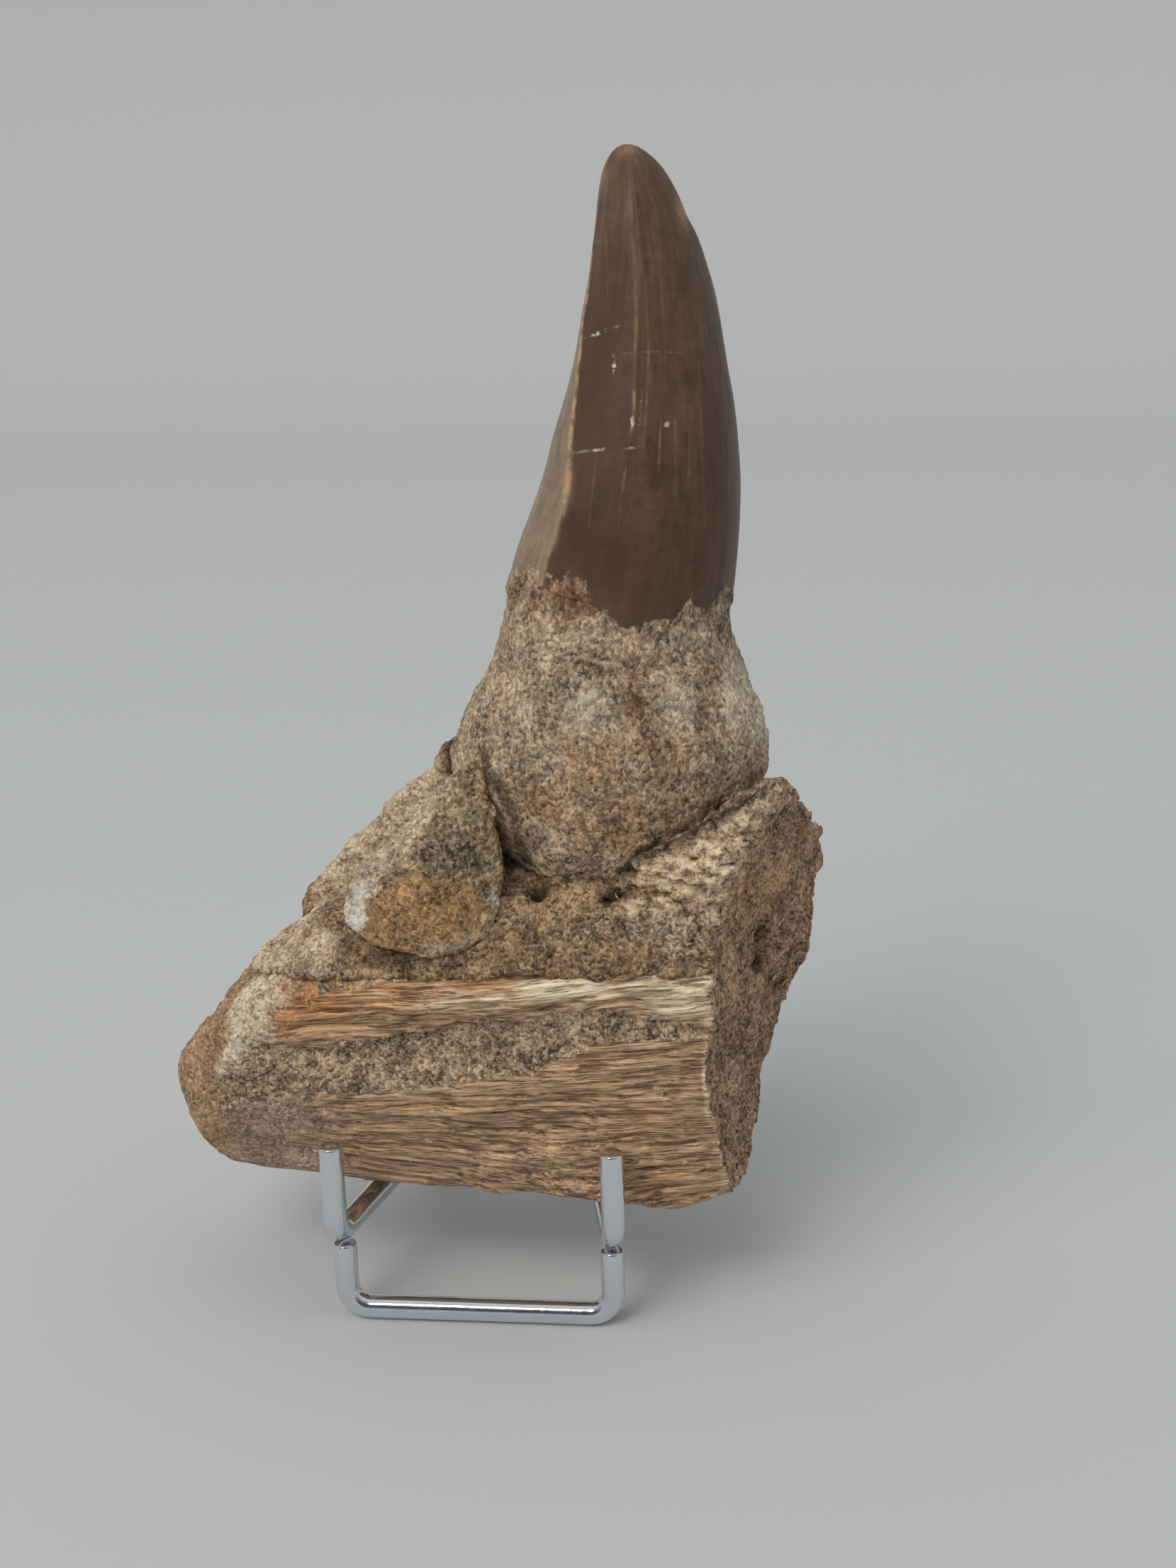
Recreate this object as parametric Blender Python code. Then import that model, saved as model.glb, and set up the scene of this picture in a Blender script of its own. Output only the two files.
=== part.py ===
"""A fossil mosasaur tooth in its piece of jaw, held up by a small chromed wire stand.

Sizes are in millimetres and are turned to metres as the meshes are made. X runs right along
the stand's front bar, Y to the back and Z up. The origin is the middle of the front bar's
underside, where the bar rests on the table.
"""

import math

import bmesh
import bpy
from mathutils import Vector, noise

MM = 0.001
GAP = 0.35                # clearance between two solids that touch
NOISE_OFFSET = Vector((17.3, 5.1, 41.7))

# --- stand -------------------------------------------------------------------------------
WIRE = 3.0                # wire diameter
WIRE_SIDES = 12           # even, so that the wire has a flat side underneath
BEND = 3.0                # centre-line radius of the tight bends
BEND_STEPS = 4
PRONG_X = 17.6            # half the distance between the two prongs
PRONG_Y = -2.0
PRONG_TOP = 24.9
ARM_Z = 12.4              # height of the arms' centre line
ARM_TOE_IN = math.radians(12.0)
ARM_END_Y = 32.8          # where the arms turn up into the back rest
REST_TOP = 54.0
REST_LEAN = math.radians(12.0)
REST_CORNER = 5.0
FOOT_X = 17.1             # half the width of the front foot, between post centre lines
REAR_TOP_Y = 29.0         # the rear foot leans back from here
REAR_BAR_Y = 44.0

# --- tooth -------------------------------------------------------------------------------
# height, left edge, right edge, front, back: crown first, then the root down to its tip
TOOTH = (
    (142.9, 18.4, 22.2, 20.0, 23.4),
    (141.6, 17.4, 23.9, 18.6, 24.7),
    (138.8, 16.8, 25.6, 17.0, 26.0),
    (134.0, 16.0, 28.0, 14.9, 27.0),
    (129.0, 15.3, 29.6, 13.1, 27.7),
    (124.0, 14.2, 30.8, 11.5, 28.2),
    (118.0, 13.2, 31.8, 9.9, 28.7),
    (111.0, 11.1, 32.9, 8.1, 29.2),
    (103.0, 8.7, 33.3, 6.4, 29.6),
    (95.5, 5.6, 32.9, 5.0, 30.0),
    (90.0, 4.3, 32.2, 4.3, 30.3),
    (86.0, 3.4, 31.9, 3.7, 30.5),
    (83.5, 2.6, 33.0, 3.2, 30.8),
    (80.0, 0.9, 34.7, 2.5, 31.3),
    (76.0, -1.4, 36.0, 1.7, 31.9),
    (71.0, -3.6, 36.9, 1.4, 32.4),
    (66.0, -3.4, 35.8, 2.2, 32.2),
    (61.0, 0.2, 31.6, 3.6, 31.0),
    (57.0, 4.6, 25.6, 5.0, 28.0),
    (53.5, 9.8, 19.5, 7.4, 22.5),
)
TIP = (20.0, 21.7, 143.5)
ROOT_TIP = (14.6, 14.0, 52.4)
CROWN_BASE = 88.0         # height where the enamel ends
TOOTH_SIDES = 30
TOOTH_RINGS = 34
RING_CROWDING = 0.035     # how much closer the rings lie at the tip and at the root's end
CARINA_RISE = 0.16        # how far a cutting edge stands out, as a part of the radius
CARINA_WIDTH = 0.42       # radians
CARINA_TURN = math.radians(56.0)   # how far the left edge has turned to the front at the base
CARINA_TURNS = (-0.05, 0.8)        # where along the crown it turns: 0 is the tip, 1 the base
CARINA_FADE = 12.0        # length over which the edges die out on the root

# --- jaw bone ----------------------------------------------------------------------------
# station, top, keel, front, front lower corner, back: from the nose to the broken end
JAW = (
    (-40.6, 31.0, 26.0, 9.5, 11.6, 17.0),
    (-39.0, 32.4, 20.0, 5.6, 11.0, 23.0),
    (-35.6, 36.0, 16.9, 3.2, 9.8, 27.0),
    (-31.0, 41.2, 15.8, 1.5, 9.0, 29.5),
    (-24.0, 45.8, 15.2, 0.5, 8.4, 31.0),
    (-14.0, 47.3, 14.3, 0.0, 7.6, 32.0),
    (0.0, 47.9, 14.2, 0.0, 6.2, 32.5),
    (15.0, 48.2, 14.2, 0.0, 3.4, 32.5),
    (27.0, 48.2, 14.2, 0.0, 2.6, 32.0),
    (30.4, 48.2, 16.4, 0.0, 2.8, 31.8),
    (48.0, 48.2, 16.6, 0.2, 3.6, 31.0),
)
NOSE = (-41.0, 14.0, 28.5)
JAW_STEPS = 32
JAW_ROUNDING = 2          # times that the corners of each section are cut
POCKET_DEPTH = 1.5
POCKET = (                # station, lower edge, upper edge of the hollow along the front
    (-26.0, 34.0, 38.0),
    (-20.0, 33.6, 40.6),
    (4.0, 34.2, 41.3),
    (9.0, 36.6, 41.8),
    (13.0, 38.4, 42.2),
    (29.0, 39.8, 43.2),
    (48.0, 39.8, 43.2),
)
POCKET_EDGE = 0.8
POCKET_START = (-27.0, -19.0)
FRONT_DEPTH = 10.0        # how deep the front of the jaw counts as its face
WALL = (                  # corners of the wall that rises on the right of the root
    (17.5, 5.0, 45.0), (30.0, 3.0, 45.0), (18.8, 3.8, 57.5), (21.4, 2.8, 61.6), (25.5, 2.2, 63.6),
    (30.5, 2.4, 66.2), (37.4, 5.5, 70.4), (39.4, 11.0, 69.0), (31.5, 1.4, 53.0), (33.5, 1.4, 60.0),
    (46.0, 24.0, 44.0), (43.4, 25.0, 59.0), (43.6, 28.0, 51.0), (41.6, 17.0, 64.4),
    (17.0, 31.0, 44.0), (46.0, 31.5, 45.0), (24.0, 31.5, 60.0), (42.6, 30.5, 56.0), (40.0, 3.5, 50.0),
)
BREAK = (                 # height, where the break meets the front face, its sideways run per mm of depth
    (10.0, 32.0, 0.12),
    (19.0, 31.9, 0.14),
    (25.0, 30.5, 0.17),
    (31.0, 29.8, 0.27),
    (35.5, 29.2, 0.345),
    (42.0, 29.8, 0.40),
    (48.0, 29.5, 0.41),
    (57.0, 31.6, 0.405),
    (66.0, 35.4, 0.32),
    (76.0, 38.0, 0.20),
)
BREAK_GRID = 2.4          # size of the facets of the break
BREAK_LUMPS = 0.7
BREAK_PITS = (            # depth and height of a pit's middle, its radius, how deep it goes
    (16.2, 45.7, 2.6, 2.2),
    (15.0, 41.8, 2.0, 1.8),
    (26.0, 36.5, 2.6, 2.0),
    (7.5, 37.0, 2.2, 1.2),
)
BREAK_REACH = (-6.0, 42.0, 8.0, 78.0)   # the cutter's span in depth and in height
BREAK_FAR = 62.0

# --- root fragment -----------------------------------------------------------------------
FRAGMENT = (              # corners of the wedge-shaped fragment on the left of the root
    (2.2, 4.2, 74.0), (-0.4, 3.8, 72.6), (-4.2, 1.6, 67.2), (-9.2, 0.7, 62.6), (-15.4, 1.2, 57.2),
    (-15.0, 1.0, 52.8), (-11.6, 0.2, 50.4), (-5.0, -0.1, 49.0), (0.8, 0.2, 50.0), (4.2, 1.2, 54.4),
    (5.0, 2.6, 59.0), (4.2, 3.4, 64.5), (3.6, 4.4, 70.2), (-6.0, -1.2, 57.0), (-2.0, -0.8, 62.0),
    (1.0, 9.5, 70.0), (-6.5, 12.0, 63.0), (-14.5, 13.0, 54.0), (-12.0, 13.0, 48.0), (2.0, 12.0, 48.5),
    (3.0, 10.0, 62.0),
)

# --- sandy matrix ------------------------------------------------------------------------
BANK = (                  # the bank that climbs behind the fragment to the neck of the root
    (-25.2, 19.5, 43.0), (-25.1, 19.5, 50.3), (-24.4, 29.5, 48.0), (-24.6, 30.5, 42.0),
    (-18.7, 19.5, 54.2), (-14.4, 19.0, 58.2), (-11.0, 18.5, 61.8), (-6.5, 17.5, 66.0),
    (-2.9, 16.5, 70.0), (-0.8, 16.5, 74.2), (-14.8, 28.0, 56.4), (-6.0, 29.0, 64.8),
    (0.0, 27.0, 73.0), (4.0, 31.5, 68.0), (2.0, 31.5, 43.0), (-2.0, 14.0, 43.0), (5.0, 12.0, 60.0),
)
FILL = (                  # the fill on top of the jaw, under the root and the fragment
    (-33.0, 10.0, 38.5), (-30.0, 5.0, 41.0), (-22.0, 2.2, 46.0), (-19.0, 4.0, 50.0), (-23.0, 12.0, 49.8),
    (-28.5, 13.0, 45.4), (-14.0, 1.2, 47.0), (0.0, 1.0, 47.4), (18.0, 1.0, 47.8), (31.0, 1.0, 48.4),
    (31.0, 2.0, 56.0), (20.0, 2.0, 57.5), (11.0, 3.2, 56.0), (3.0, 3.0, 55.5), (-8.0, 3.0, 53.0),
    (-20.0, 8.0, 52.0), (-28.0, 24.0, 42.0), (36.0, 27.0, 56.0), (34.0, 30.5, 42.0), (-24.0, 29.0, 42.0),
    (20.0, 30.5, 61.0), (4.0, 30.5, 61.0), (-30.0, 10.0, 37.0), (31.0, 3.0, 42.0), (-16.0, 2.0, 42.0),
    (26.0, 2.6, 42.0),
)

# --- mesh work ---------------------------------------------------------------------------
VOXEL = 1.0               # grid that the lumps are fused on
SMOOTH_STEPS = 3
TRIANGLES = {"jaw_bone": 2700, "matrix": 1900, "root_fragment": 750}
ROUGHNESS = {"tooth": 0.12, "jaw_bone": 0.45, "matrix": 0.5, "root_fragment": 0.35}
LUMP_SIZE = 7.0           # size of the lumps that the roughness makes

MATERIALS = {             # base colour, metallic, roughness
    "tooth": ((0.115, 0.078, 0.052), 0.0, 0.42),
    "jaw_bone": ((0.33, 0.205, 0.115), 0.0, 0.88),
    "matrix": ((0.29, 0.215, 0.145), 0.0, 0.95),
    "root_fragment": ((0.30, 0.19, 0.10), 0.0, 0.9),
    "chromed wire": ((0.62, 0.64, 0.67), 1.0, 0.14),
}


def clear_scene():
    for obj in list(bpy.data.objects):
        bpy.data.objects.remove(obj, do_unlink=True)


def material(name):
    """A Principled material with the colour, metal and roughness listed above."""
    if name in bpy.data.materials:
        return bpy.data.materials[name]
    colour, metallic, roughness = MATERIALS[name]
    made = bpy.data.materials.new(name)
    made.use_nodes = True
    shader = made.node_tree.nodes["Principled BSDF"]
    shader.inputs["Base Color"].default_value = (*colour, 1.0)
    shader.inputs["Metallic"].default_value = metallic
    shader.inputs["Roughness"].default_value = roughness
    return made


def new_object(name, bm, material_name=None):
    """Turns a bmesh in millimetres into an object in metres, with its faces pointing out."""
    bmesh.ops.recalc_face_normals(bm, faces=bm.faces)
    bmesh.ops.scale(bm, vec=(MM, MM, MM), verts=bm.verts)
    mesh = bpy.data.meshes.new(name)
    bm.to_mesh(mesh)
    bm.free()
    obj = bpy.data.objects.new(name, mesh)
    bpy.context.collection.objects.link(obj)
    if material_name:
        mesh.materials.append(material(material_name))
    return obj


def settle(obj):
    """Bakes an object's modifiers into its mesh."""
    depsgraph = bpy.context.evaluated_depsgraph_get()
    mesh = bpy.data.meshes.new_from_object(obj.evaluated_get(depsgraph))
    obj.modifiers.clear()
    obj.data = mesh


def table_at(table, station):
    """The row of a table at a station, along a smooth curve through its rows."""
    keys = [row[0] for row in table]
    if keys[0] > keys[-1]:
        table, keys = table[::-1], keys[::-1]
    station = min(max(station, keys[0]), keys[-1])
    index = max(i for i in range(len(keys) - 1) if keys[i] <= station)
    before, here = table[max(index - 1, 0)], table[index]
    after, beyond = table[index + 1], table[min(index + 2, len(table) - 1)]
    t = (station - here[0]) / (after[0] - here[0])
    values = []
    for column in range(1, len(here)):
        span = after[0] - here[0]
        rise_here = (after[column] - before[column]) / (after[0] - before[0]) * span
        rise_after = (beyond[column] - here[column]) / (beyond[0] - here[0]) * span
        values.append(
            (2 * t**3 - 3 * t**2 + 1) * here[column] + (t**3 - 2 * t**2 + t) * rise_here
            + (3 * t**2 - 2 * t**3) * after[column] + (t**3 - t**2) * rise_after)
    return values


def smooth_step(low, high, value):
    t = min(max((value - low) / (high - low), 0.0), 1.0)
    return t * t * (3 - 2 * t)


def loft(bm, rings, first_point, last_point):
    """Joins closed rings of equal count in turn, and closes each end on a point."""
    loops = [[bm.verts.new(point) for point in ring] for ring in rings]
    count = len(loops[0])
    for one, two in zip(loops, loops[1:]):
        for i in range(count):
            j = (i + 1) % count
            bm.faces.new((one[i], one[j], two[j], two[i]))
    for loop, point in ((loops[0], first_point), (loops[-1], last_point)):
        pole = bm.verts.new(point)
        for i in range(count):
            bm.faces.new((loop[i], loop[(i + 1) % count], pole))


# --- tooth -------------------------------------------------------------------------------
def tooth_ring(height):
    """One level section of the tooth: an oval with two cutting edges on the crown."""
    left, right, front, back = table_at(TOOTH, height)
    top, low = TOOTH[0][0], CROWN_BASE
    down = min((top - height) / (top - low), 1.0)
    turn = CARINA_TURN * smooth_step(*CARINA_TURNS, down)
    rise = CARINA_RISE * smooth_step(low - CARINA_FADE, low, height)
    ring = []
    for i in range(TOOTH_SIDES):
        around = 2 * math.pi * i / TOOTH_SIDES
        to_edge = min(around % math.pi, math.pi - around % math.pi)
        reach = 1.0 + rise * math.exp(-to_edge / CARINA_WIDTH)
        angle = math.pi + turn + around
        ring.append([reach * math.cos(angle), reach * math.sin(angle)])
    lows = [min(p[axis] for p in ring) for axis in (0, 1)]
    highs = [max(p[axis] for p in ring) for axis in (0, 1)]
    return [
        (left + (right - left) * (p[0] - lows[0]) / (highs[0] - lows[0]),
         front + (back - front) * (p[1] - lows[1]) / (highs[1] - lows[1]), height)
        for p in ring]


def build_tooth():
    bm = bmesh.new()
    top, bottom = TOOTH[0][0], TOOTH[-1][0]
    rings = []
    for i in range(TOOTH_RINGS):
        share = i / (TOOTH_RINGS - 1)
        share -= RING_CROWDING * math.sin(2 * math.pi * share)
        height = top + (bottom - top) * share
        rings.append(tooth_ring(height))
    loft(bm, rings, TIP, ROOT_TIP)
    return new_object("tooth", bm, "tooth")


# --- jaw bone ----------------------------------------------------------------------------
def rounded(points, times):
    """Cuts the corners of a closed outline, so that it becomes smooth."""
    for _ in range(times):
        cut = []
        for here, there in zip(points, points[1:] + points[:1]):
            cut.append([0.75 * a + 0.25 * b for a, b in zip(here, there)])
            cut.append([0.25 * a + 0.75 * b for a, b in zip(here, there)])
        points = cut
    return points


def jaw_section(station):
    """The jaw's cross-section in depth and height at one station along it."""
    top, keel, front, corner, back = table_at(JAW, station)
    height = top - keel
    flank = [[front + 0.9 * (corner - front) * (1 - share) ** 3, keel + (0.09 + 0.83 * share) * height]
             for share in (0.0, 0.15, 0.3, 0.42, 0.52, 0.62, 0.72, 0.82, 0.91, 1.0)]
    outline = [[corner, keel]] + flank + [
        [front + 0.10 * (back - front), top],
        [front + 0.5 * (back - front), top + 0.5],
        [back - 0.08 * (back - front), top],
        [back, keel + 0.82 * height],
        [back, keel + 0.5 * height],
        [back - 0.05 * (back - front), keel + 0.28 * height],
        [back - 0.30 * (back - front), keel + 0.06 * height],
        [0.5 * (back + corner), keel]]
    return rounded(outline, JAW_ROUNDING)


def pocket_depth(x, z):
    """How far the front is hollowed out at a place, between the two plates of bone."""
    low, high = table_at(POCKET, x)
    ends = smooth_step(*POCKET_START, x)
    across = smooth_step(low - POCKET_EDGE, low + POCKET_EDGE, z) - smooth_step(
        high - POCKET_EDGE, high + POCKET_EDGE, z)
    return POCKET_DEPTH * ends * across


def build_jaw_block():
    bm = bmesh.new()
    first, last = JAW[0][0], JAW[-1][0]
    rings = []
    for i in range(JAW_STEPS):
        station = first + (last - first) * i / (JAW_STEPS - 1)
        rings.append([
            (station, depth + (pocket_depth(station, height) if depth < FRONT_DEPTH else 0.0), height)
            for depth, height in jaw_section(station)])
    middle = [sum(point[axis] for point in rings[-1]) / len(rings[-1]) for axis in range(3)]
    loft(bm, rings, NOSE, middle)
    return new_object("jaw_block", bm)


def broken_end(depth, height):
    """Where the slanting break lies at a depth and height, with its lumps and pits."""
    front, run = table_at(BREAK, height)
    lumps = noise.fractal(Vector((depth, height, 0.0)) / LUMP_SIZE + NOISE_OFFSET, 1.0, 2.1, 3,
                          noise_basis="PERLIN_ORIGINAL")
    x = front + run * max(depth, 0.0) + BREAK_LUMPS * lumps * smooth_step(0.0, 3.0, depth)
    for pit_depth, pit_height, radius, deep in BREAK_PITS:
        away = math.hypot(depth - pit_depth, height - pit_height) / radius
        x -= deep * math.exp(-away * away)
    return x


def build_break():
    """The solid that is broken off the right end of the jaw."""
    low_y, high_y, low_z, high_z = BREAK_REACH
    across = round((high_y - low_y) / BREAK_GRID)
    up = round((high_z - low_z) / BREAK_GRID)
    bm = bmesh.new()
    bmesh.ops.create_grid(bm, x_segments=across, y_segments=up, size=0.5)
    for vert in bm.verts:
        depth = low_y + (vert.co.x + 0.5) * (high_y - low_y)
        height = low_z + (vert.co.y + 0.5) * (high_z - low_z)
        vert.co = (broken_end(depth, height), depth, height)
    far = bmesh.ops.extrude_face_region(bm, geom=bm.faces[:])
    for item in far["geom"]:
        if isinstance(item, bmesh.types.BMVert):
            item.co.x = BREAK_FAR
    return new_object("break", bm)


def hull(name, corners):
    """The tight skin around a few corner points."""
    bm = bmesh.new()
    for corner in corners:
        bm.verts.new(corner)
    made = bmesh.ops.convex_hull(bm, input=bm.verts)
    spare = {v for key in ("geom_interior", "geom_unused") for v in made[key]
             if isinstance(v, bmesh.types.BMVert) and not v.link_faces}
    bmesh.ops.delete(bm, geom=list(spare), context="VERTS")
    return new_object(name, bm)


def fuse(name, pieces, material_name):
    """Grows overlapping lumps together into one rounded skin."""
    bm = bmesh.new()
    for piece in pieces:
        bm.from_mesh(piece.data)
        bpy.data.objects.remove(piece)
    mesh = bpy.data.meshes.new(name)
    bm.to_mesh(mesh)
    bm.free()
    obj = bpy.data.objects.new(name, mesh)
    bpy.context.collection.objects.link(obj)
    remesh = obj.modifiers.new("grow together", "REMESH")
    remesh.mode = "VOXEL"
    remesh.voxel_size = VOXEL * MM
    soften = obj.modifiers.new("soften", "SMOOTH")
    soften.iterations = SMOOTH_STEPS
    soften.factor = 0.5
    settle(obj)
    obj.data.materials.clear()
    obj.data.materials.append(material(material_name))
    return obj


def roughen(obj, amount):
    """Moves each point along its normal by a slow, lumpy noise."""
    bm = bmesh.new()
    bm.from_mesh(obj.data)
    bm.normal_update()
    moves = []
    for vert in bm.verts:
        place = vert.co / (LUMP_SIZE * MM) + NOISE_OFFSET
        swell = noise.fractal(place, 1.0, 2.1, 3, noise_basis="PERLIN_ORIGINAL")
        moves.append(vert.normal * swell * amount * MM)
    for vert, move in zip(bm.verts, moves):
        vert.co += move
    bm.to_mesh(obj.data)
    bm.free()


def thin_out(obj, triangles):
    """Brings a mesh down to a number of triangles."""
    count = sum(len(face.vertices) - 2 for face in obj.data.polygons)
    if count > triangles:
        fewer = obj.modifiers.new("fewer faces", "DECIMATE")
        fewer.ratio = triangles / count
        settle(obj)


def cut_away(obj, solid, gap):
    """Cuts a slightly swollen copy of another solid out of this one."""
    bm = bmesh.new()
    bm.from_mesh(solid.data)
    bm.normal_update()
    moves = [vert.normal * gap * MM for vert in bm.verts]
    for vert, move in zip(bm.verts, moves):
        vert.co += move
    mesh = bpy.data.meshes.new("cutter")
    bm.to_mesh(mesh)
    bm.free()
    cutter = bpy.data.objects.new("cutter", mesh)
    bpy.context.collection.objects.link(cutter)
    cut = obj.modifiers.new("socket", "BOOLEAN")
    cut.operation = "DIFFERENCE"
    cut.solver = "EXACT"
    cut.object = cutter
    settle(obj)
    bpy.data.objects.remove(cutter)


def keep_largest(obj):
    """Drops the crumbs that a cut leaves, and keeps the one large body."""
    bm = bmesh.new()
    bm.from_mesh(obj.data)
    unseen = set(bm.verts)
    bodies = []
    while unseen:
        body, edge = [], [unseen.pop()]
        while edge:
            vert = edge.pop()
            body.append(vert)
            for link in vert.link_edges:
                other = link.other_vert(vert)
                if other in unseen:
                    unseen.remove(other)
                    edge.append(other)
        bodies.append(body)
    bodies.sort(key=len)
    for body in bodies[:-1]:
        bmesh.ops.delete(bm, geom=body, context="VERTS")
    bm.to_mesh(obj.data)
    bm.free()


# --- stand -------------------------------------------------------------------------------
def bent_path(corners, radii):
    """A path through corner points, with a round bend of the given radius at each inner one."""
    points = [Vector(corners[0])]
    for before, corner, after, radius in zip(corners, corners[1:], corners[2:], radii):
        before, corner, after = Vector(before), Vector(corner), Vector(after)
        to_before, to_after = (before - corner).normalized(), (after - corner).normalized()
        half = to_before.angle(to_after) / 2
        centre = corner + (to_before + to_after).normalized() * radius / math.sin(half)
        start = corner + to_before * radius / math.tan(half) - centre
        end = corner + to_after * radius / math.tan(half) - centre
        sweep = start.angle(end)
        for step in range(BEND_STEPS + 1):
            t = step / BEND_STEPS
            points.append(centre + (start * math.sin((1 - t) * sweep) + end * math.sin(t * sweep))
                          / math.sin(sweep))
    points.append(Vector(corners[-1]))
    return points


def wire(name, corners, radii):
    """A round wire along a bent path, flat where its facets face down, with flat cut ends."""
    path = bent_path(corners, radii)
    bm = bmesh.new()
    reach = WIRE / 2 / math.cos(math.pi / WIRE_SIDES)
    directions = [(b - a).normalized() for a, b in zip(path, path[1:])]
    side = directions[0].orthogonal().normalized()
    if abs(directions[0].y) < 0.99:
        side = (Vector((0, 1, 0)) - directions[0] * directions[0].y).normalized()
    loops = []
    for i, point in enumerate(path):
        into, out = directions[max(i - 1, 0)], directions[min(i, len(directions) - 1)]
        along = (into + out).normalized()
        side = (side - along * side.dot(along)).normalized()
        across = along.cross(side)
        stretch = 1.0 / max(along.dot(out), 0.5)
        turn_axis = into.cross(out)
        ring = []
        for k in range(WIRE_SIDES):
            angle = math.pi * (2 * k + 1) / WIRE_SIDES
            offset = (side * math.cos(angle) + across * math.sin(angle)) * reach
            if turn_axis.length > 1e-6:
                outwards = along.cross(turn_axis).normalized()
                offset += outwards * offset.dot(outwards) * (stretch - 1)
            ring.append(bm.verts.new(point + offset))
        loops.append(ring)
    for one, two in zip(loops, loops[1:]):
        for k in range(WIRE_SIDES):
            j = (k + 1) % WIRE_SIDES
            bm.faces.new((one[k], one[j], two[j], two[k]))
    bm.faces.new(loops[0])
    bm.faces.new(loops[-1])
    obj = new_object(name, bm, "chromed wire")
    obj.data.shade_smooth()
    obj.data.set_sharp_from_angle(angle=math.radians(40))
    return obj


def arm_x(y):
    """Half the distance between the arms at a depth."""
    return PRONG_X - (y - PRONG_Y) * math.tan(ARM_TOE_IN)


def build_cradle():
    """One wire: prong, arm, back rest and back again, with two upright prongs in front."""
    rise = REST_TOP - ARM_Z
    rest_y = ARM_END_Y + rise * math.tan(REST_LEAN)
    half = [(PRONG_X, PRONG_Y, PRONG_TOP), (PRONG_X, PRONG_Y, ARM_Z),
            (arm_x(ARM_END_Y), ARM_END_Y, ARM_Z), (arm_x(ARM_END_Y), rest_y, REST_TOP)]
    mirrored = [(-x, y, z) for x, y, z in reversed(half)]
    return wire("cradle_wire", half + mirrored, [BEND, BEND, REST_CORNER, REST_CORNER, BEND, BEND])


def build_foot(name, half_width, top, bar_y):
    """A shallow U that stands on the table on its long side. top is the depth and height of its ends."""
    top_y, top_z = top
    half = [(half_width, top_y, top_z), (half_width, bar_y, WIRE / 2)]
    mirrored = [(-x, y, z) for x, y, z in reversed(half)]
    return wire(name, half + mirrored, [BEND, BEND])


def main():
    clear_scene()
    tooth = build_tooth()
    roughen(tooth, ROUGHNESS["tooth"])
    jaw = fuse("jaw_bone", [build_jaw_block(), hull("wall", WALL)], "jaw_bone")
    fragment = fuse("root_fragment", [hull("wedge", FRAGMENT)], "root_fragment")
    matrix = fuse("matrix", [hull("bank", BANK), hull("fill", FILL)], "matrix")
    for obj in (jaw, fragment, matrix):
        roughen(obj, ROUGHNESS[obj.name])
        thin_out(obj, TRIANGLES[obj.name])
    broken_off = build_break()
    cut_away(jaw, broken_off, 0.0)
    cut_away(matrix, broken_off, GAP)
    bpy.data.objects.remove(broken_off)
    for obj, others in ((jaw, (tooth,)), (fragment, (tooth,)), (matrix, (tooth, fragment, jaw))):
        for other in others:
            cut_away(obj, other, GAP)
        keep_largest(obj)
    build_cradle()
    under_bend = ARM_Z - WIRE / 2 - GAP
    build_foot("front_foot", FOOT_X, (0.0, under_bend), 0.0)
    tilt_room = WIRE / 2 * (REAR_BAR_Y - REAR_TOP_Y) / under_bend
    build_foot("rear_foot", arm_x(REAR_TOP_Y), (REAR_TOP_Y, under_bend - tilt_room), REAR_BAR_Y)


main()
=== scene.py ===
"""Dresses a fossil mosasaur tooth, the piece of jaw it sits in, and its chromed wire stand.

The sizes are in millimetres in the tables below, and are turned to metres where a mesh is made.
X runs right along the stand's front bar, Y to the back and Z up from the table.
"""

import math

import bmesh
import bpy
import numpy as np
from bmesh.types import BMEdge, BMVert
from bpy.props import FloatProperty, FloatVectorProperty, IntProperty, PointerProperty
from mathutils import Matrix, Vector, noise
from mathutils.bvhtree import BVHTree


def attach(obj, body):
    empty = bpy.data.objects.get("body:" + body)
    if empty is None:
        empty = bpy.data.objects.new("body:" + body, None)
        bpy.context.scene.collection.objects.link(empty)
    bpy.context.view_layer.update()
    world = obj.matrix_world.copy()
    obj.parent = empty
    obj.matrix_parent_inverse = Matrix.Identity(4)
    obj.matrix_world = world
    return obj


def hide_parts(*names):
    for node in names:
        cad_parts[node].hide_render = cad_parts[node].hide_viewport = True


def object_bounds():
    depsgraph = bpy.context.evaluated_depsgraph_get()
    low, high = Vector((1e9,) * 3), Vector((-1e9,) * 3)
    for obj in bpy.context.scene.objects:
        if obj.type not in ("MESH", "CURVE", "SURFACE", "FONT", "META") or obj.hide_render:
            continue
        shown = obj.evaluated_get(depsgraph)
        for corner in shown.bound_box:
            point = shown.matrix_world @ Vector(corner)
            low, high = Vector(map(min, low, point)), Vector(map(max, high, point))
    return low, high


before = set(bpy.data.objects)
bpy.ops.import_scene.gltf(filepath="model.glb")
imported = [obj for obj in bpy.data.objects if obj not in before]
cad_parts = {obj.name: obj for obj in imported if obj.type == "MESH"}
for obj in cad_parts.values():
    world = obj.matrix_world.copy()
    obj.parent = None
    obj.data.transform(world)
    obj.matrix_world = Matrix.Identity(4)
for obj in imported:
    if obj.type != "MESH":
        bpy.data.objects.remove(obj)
CAD_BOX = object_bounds()

bl_info = {
    "name": "Fossil tooth on a wire stand",
    "version": (1, 0, 0),
    "blender": (4, 5, 0),
    "location": "View3D > Sidebar > Fossil",
    "description": "Carves and colours the tooth, its jaw bone and sand, and bends the stand",
    "category": "Object",
}

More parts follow.
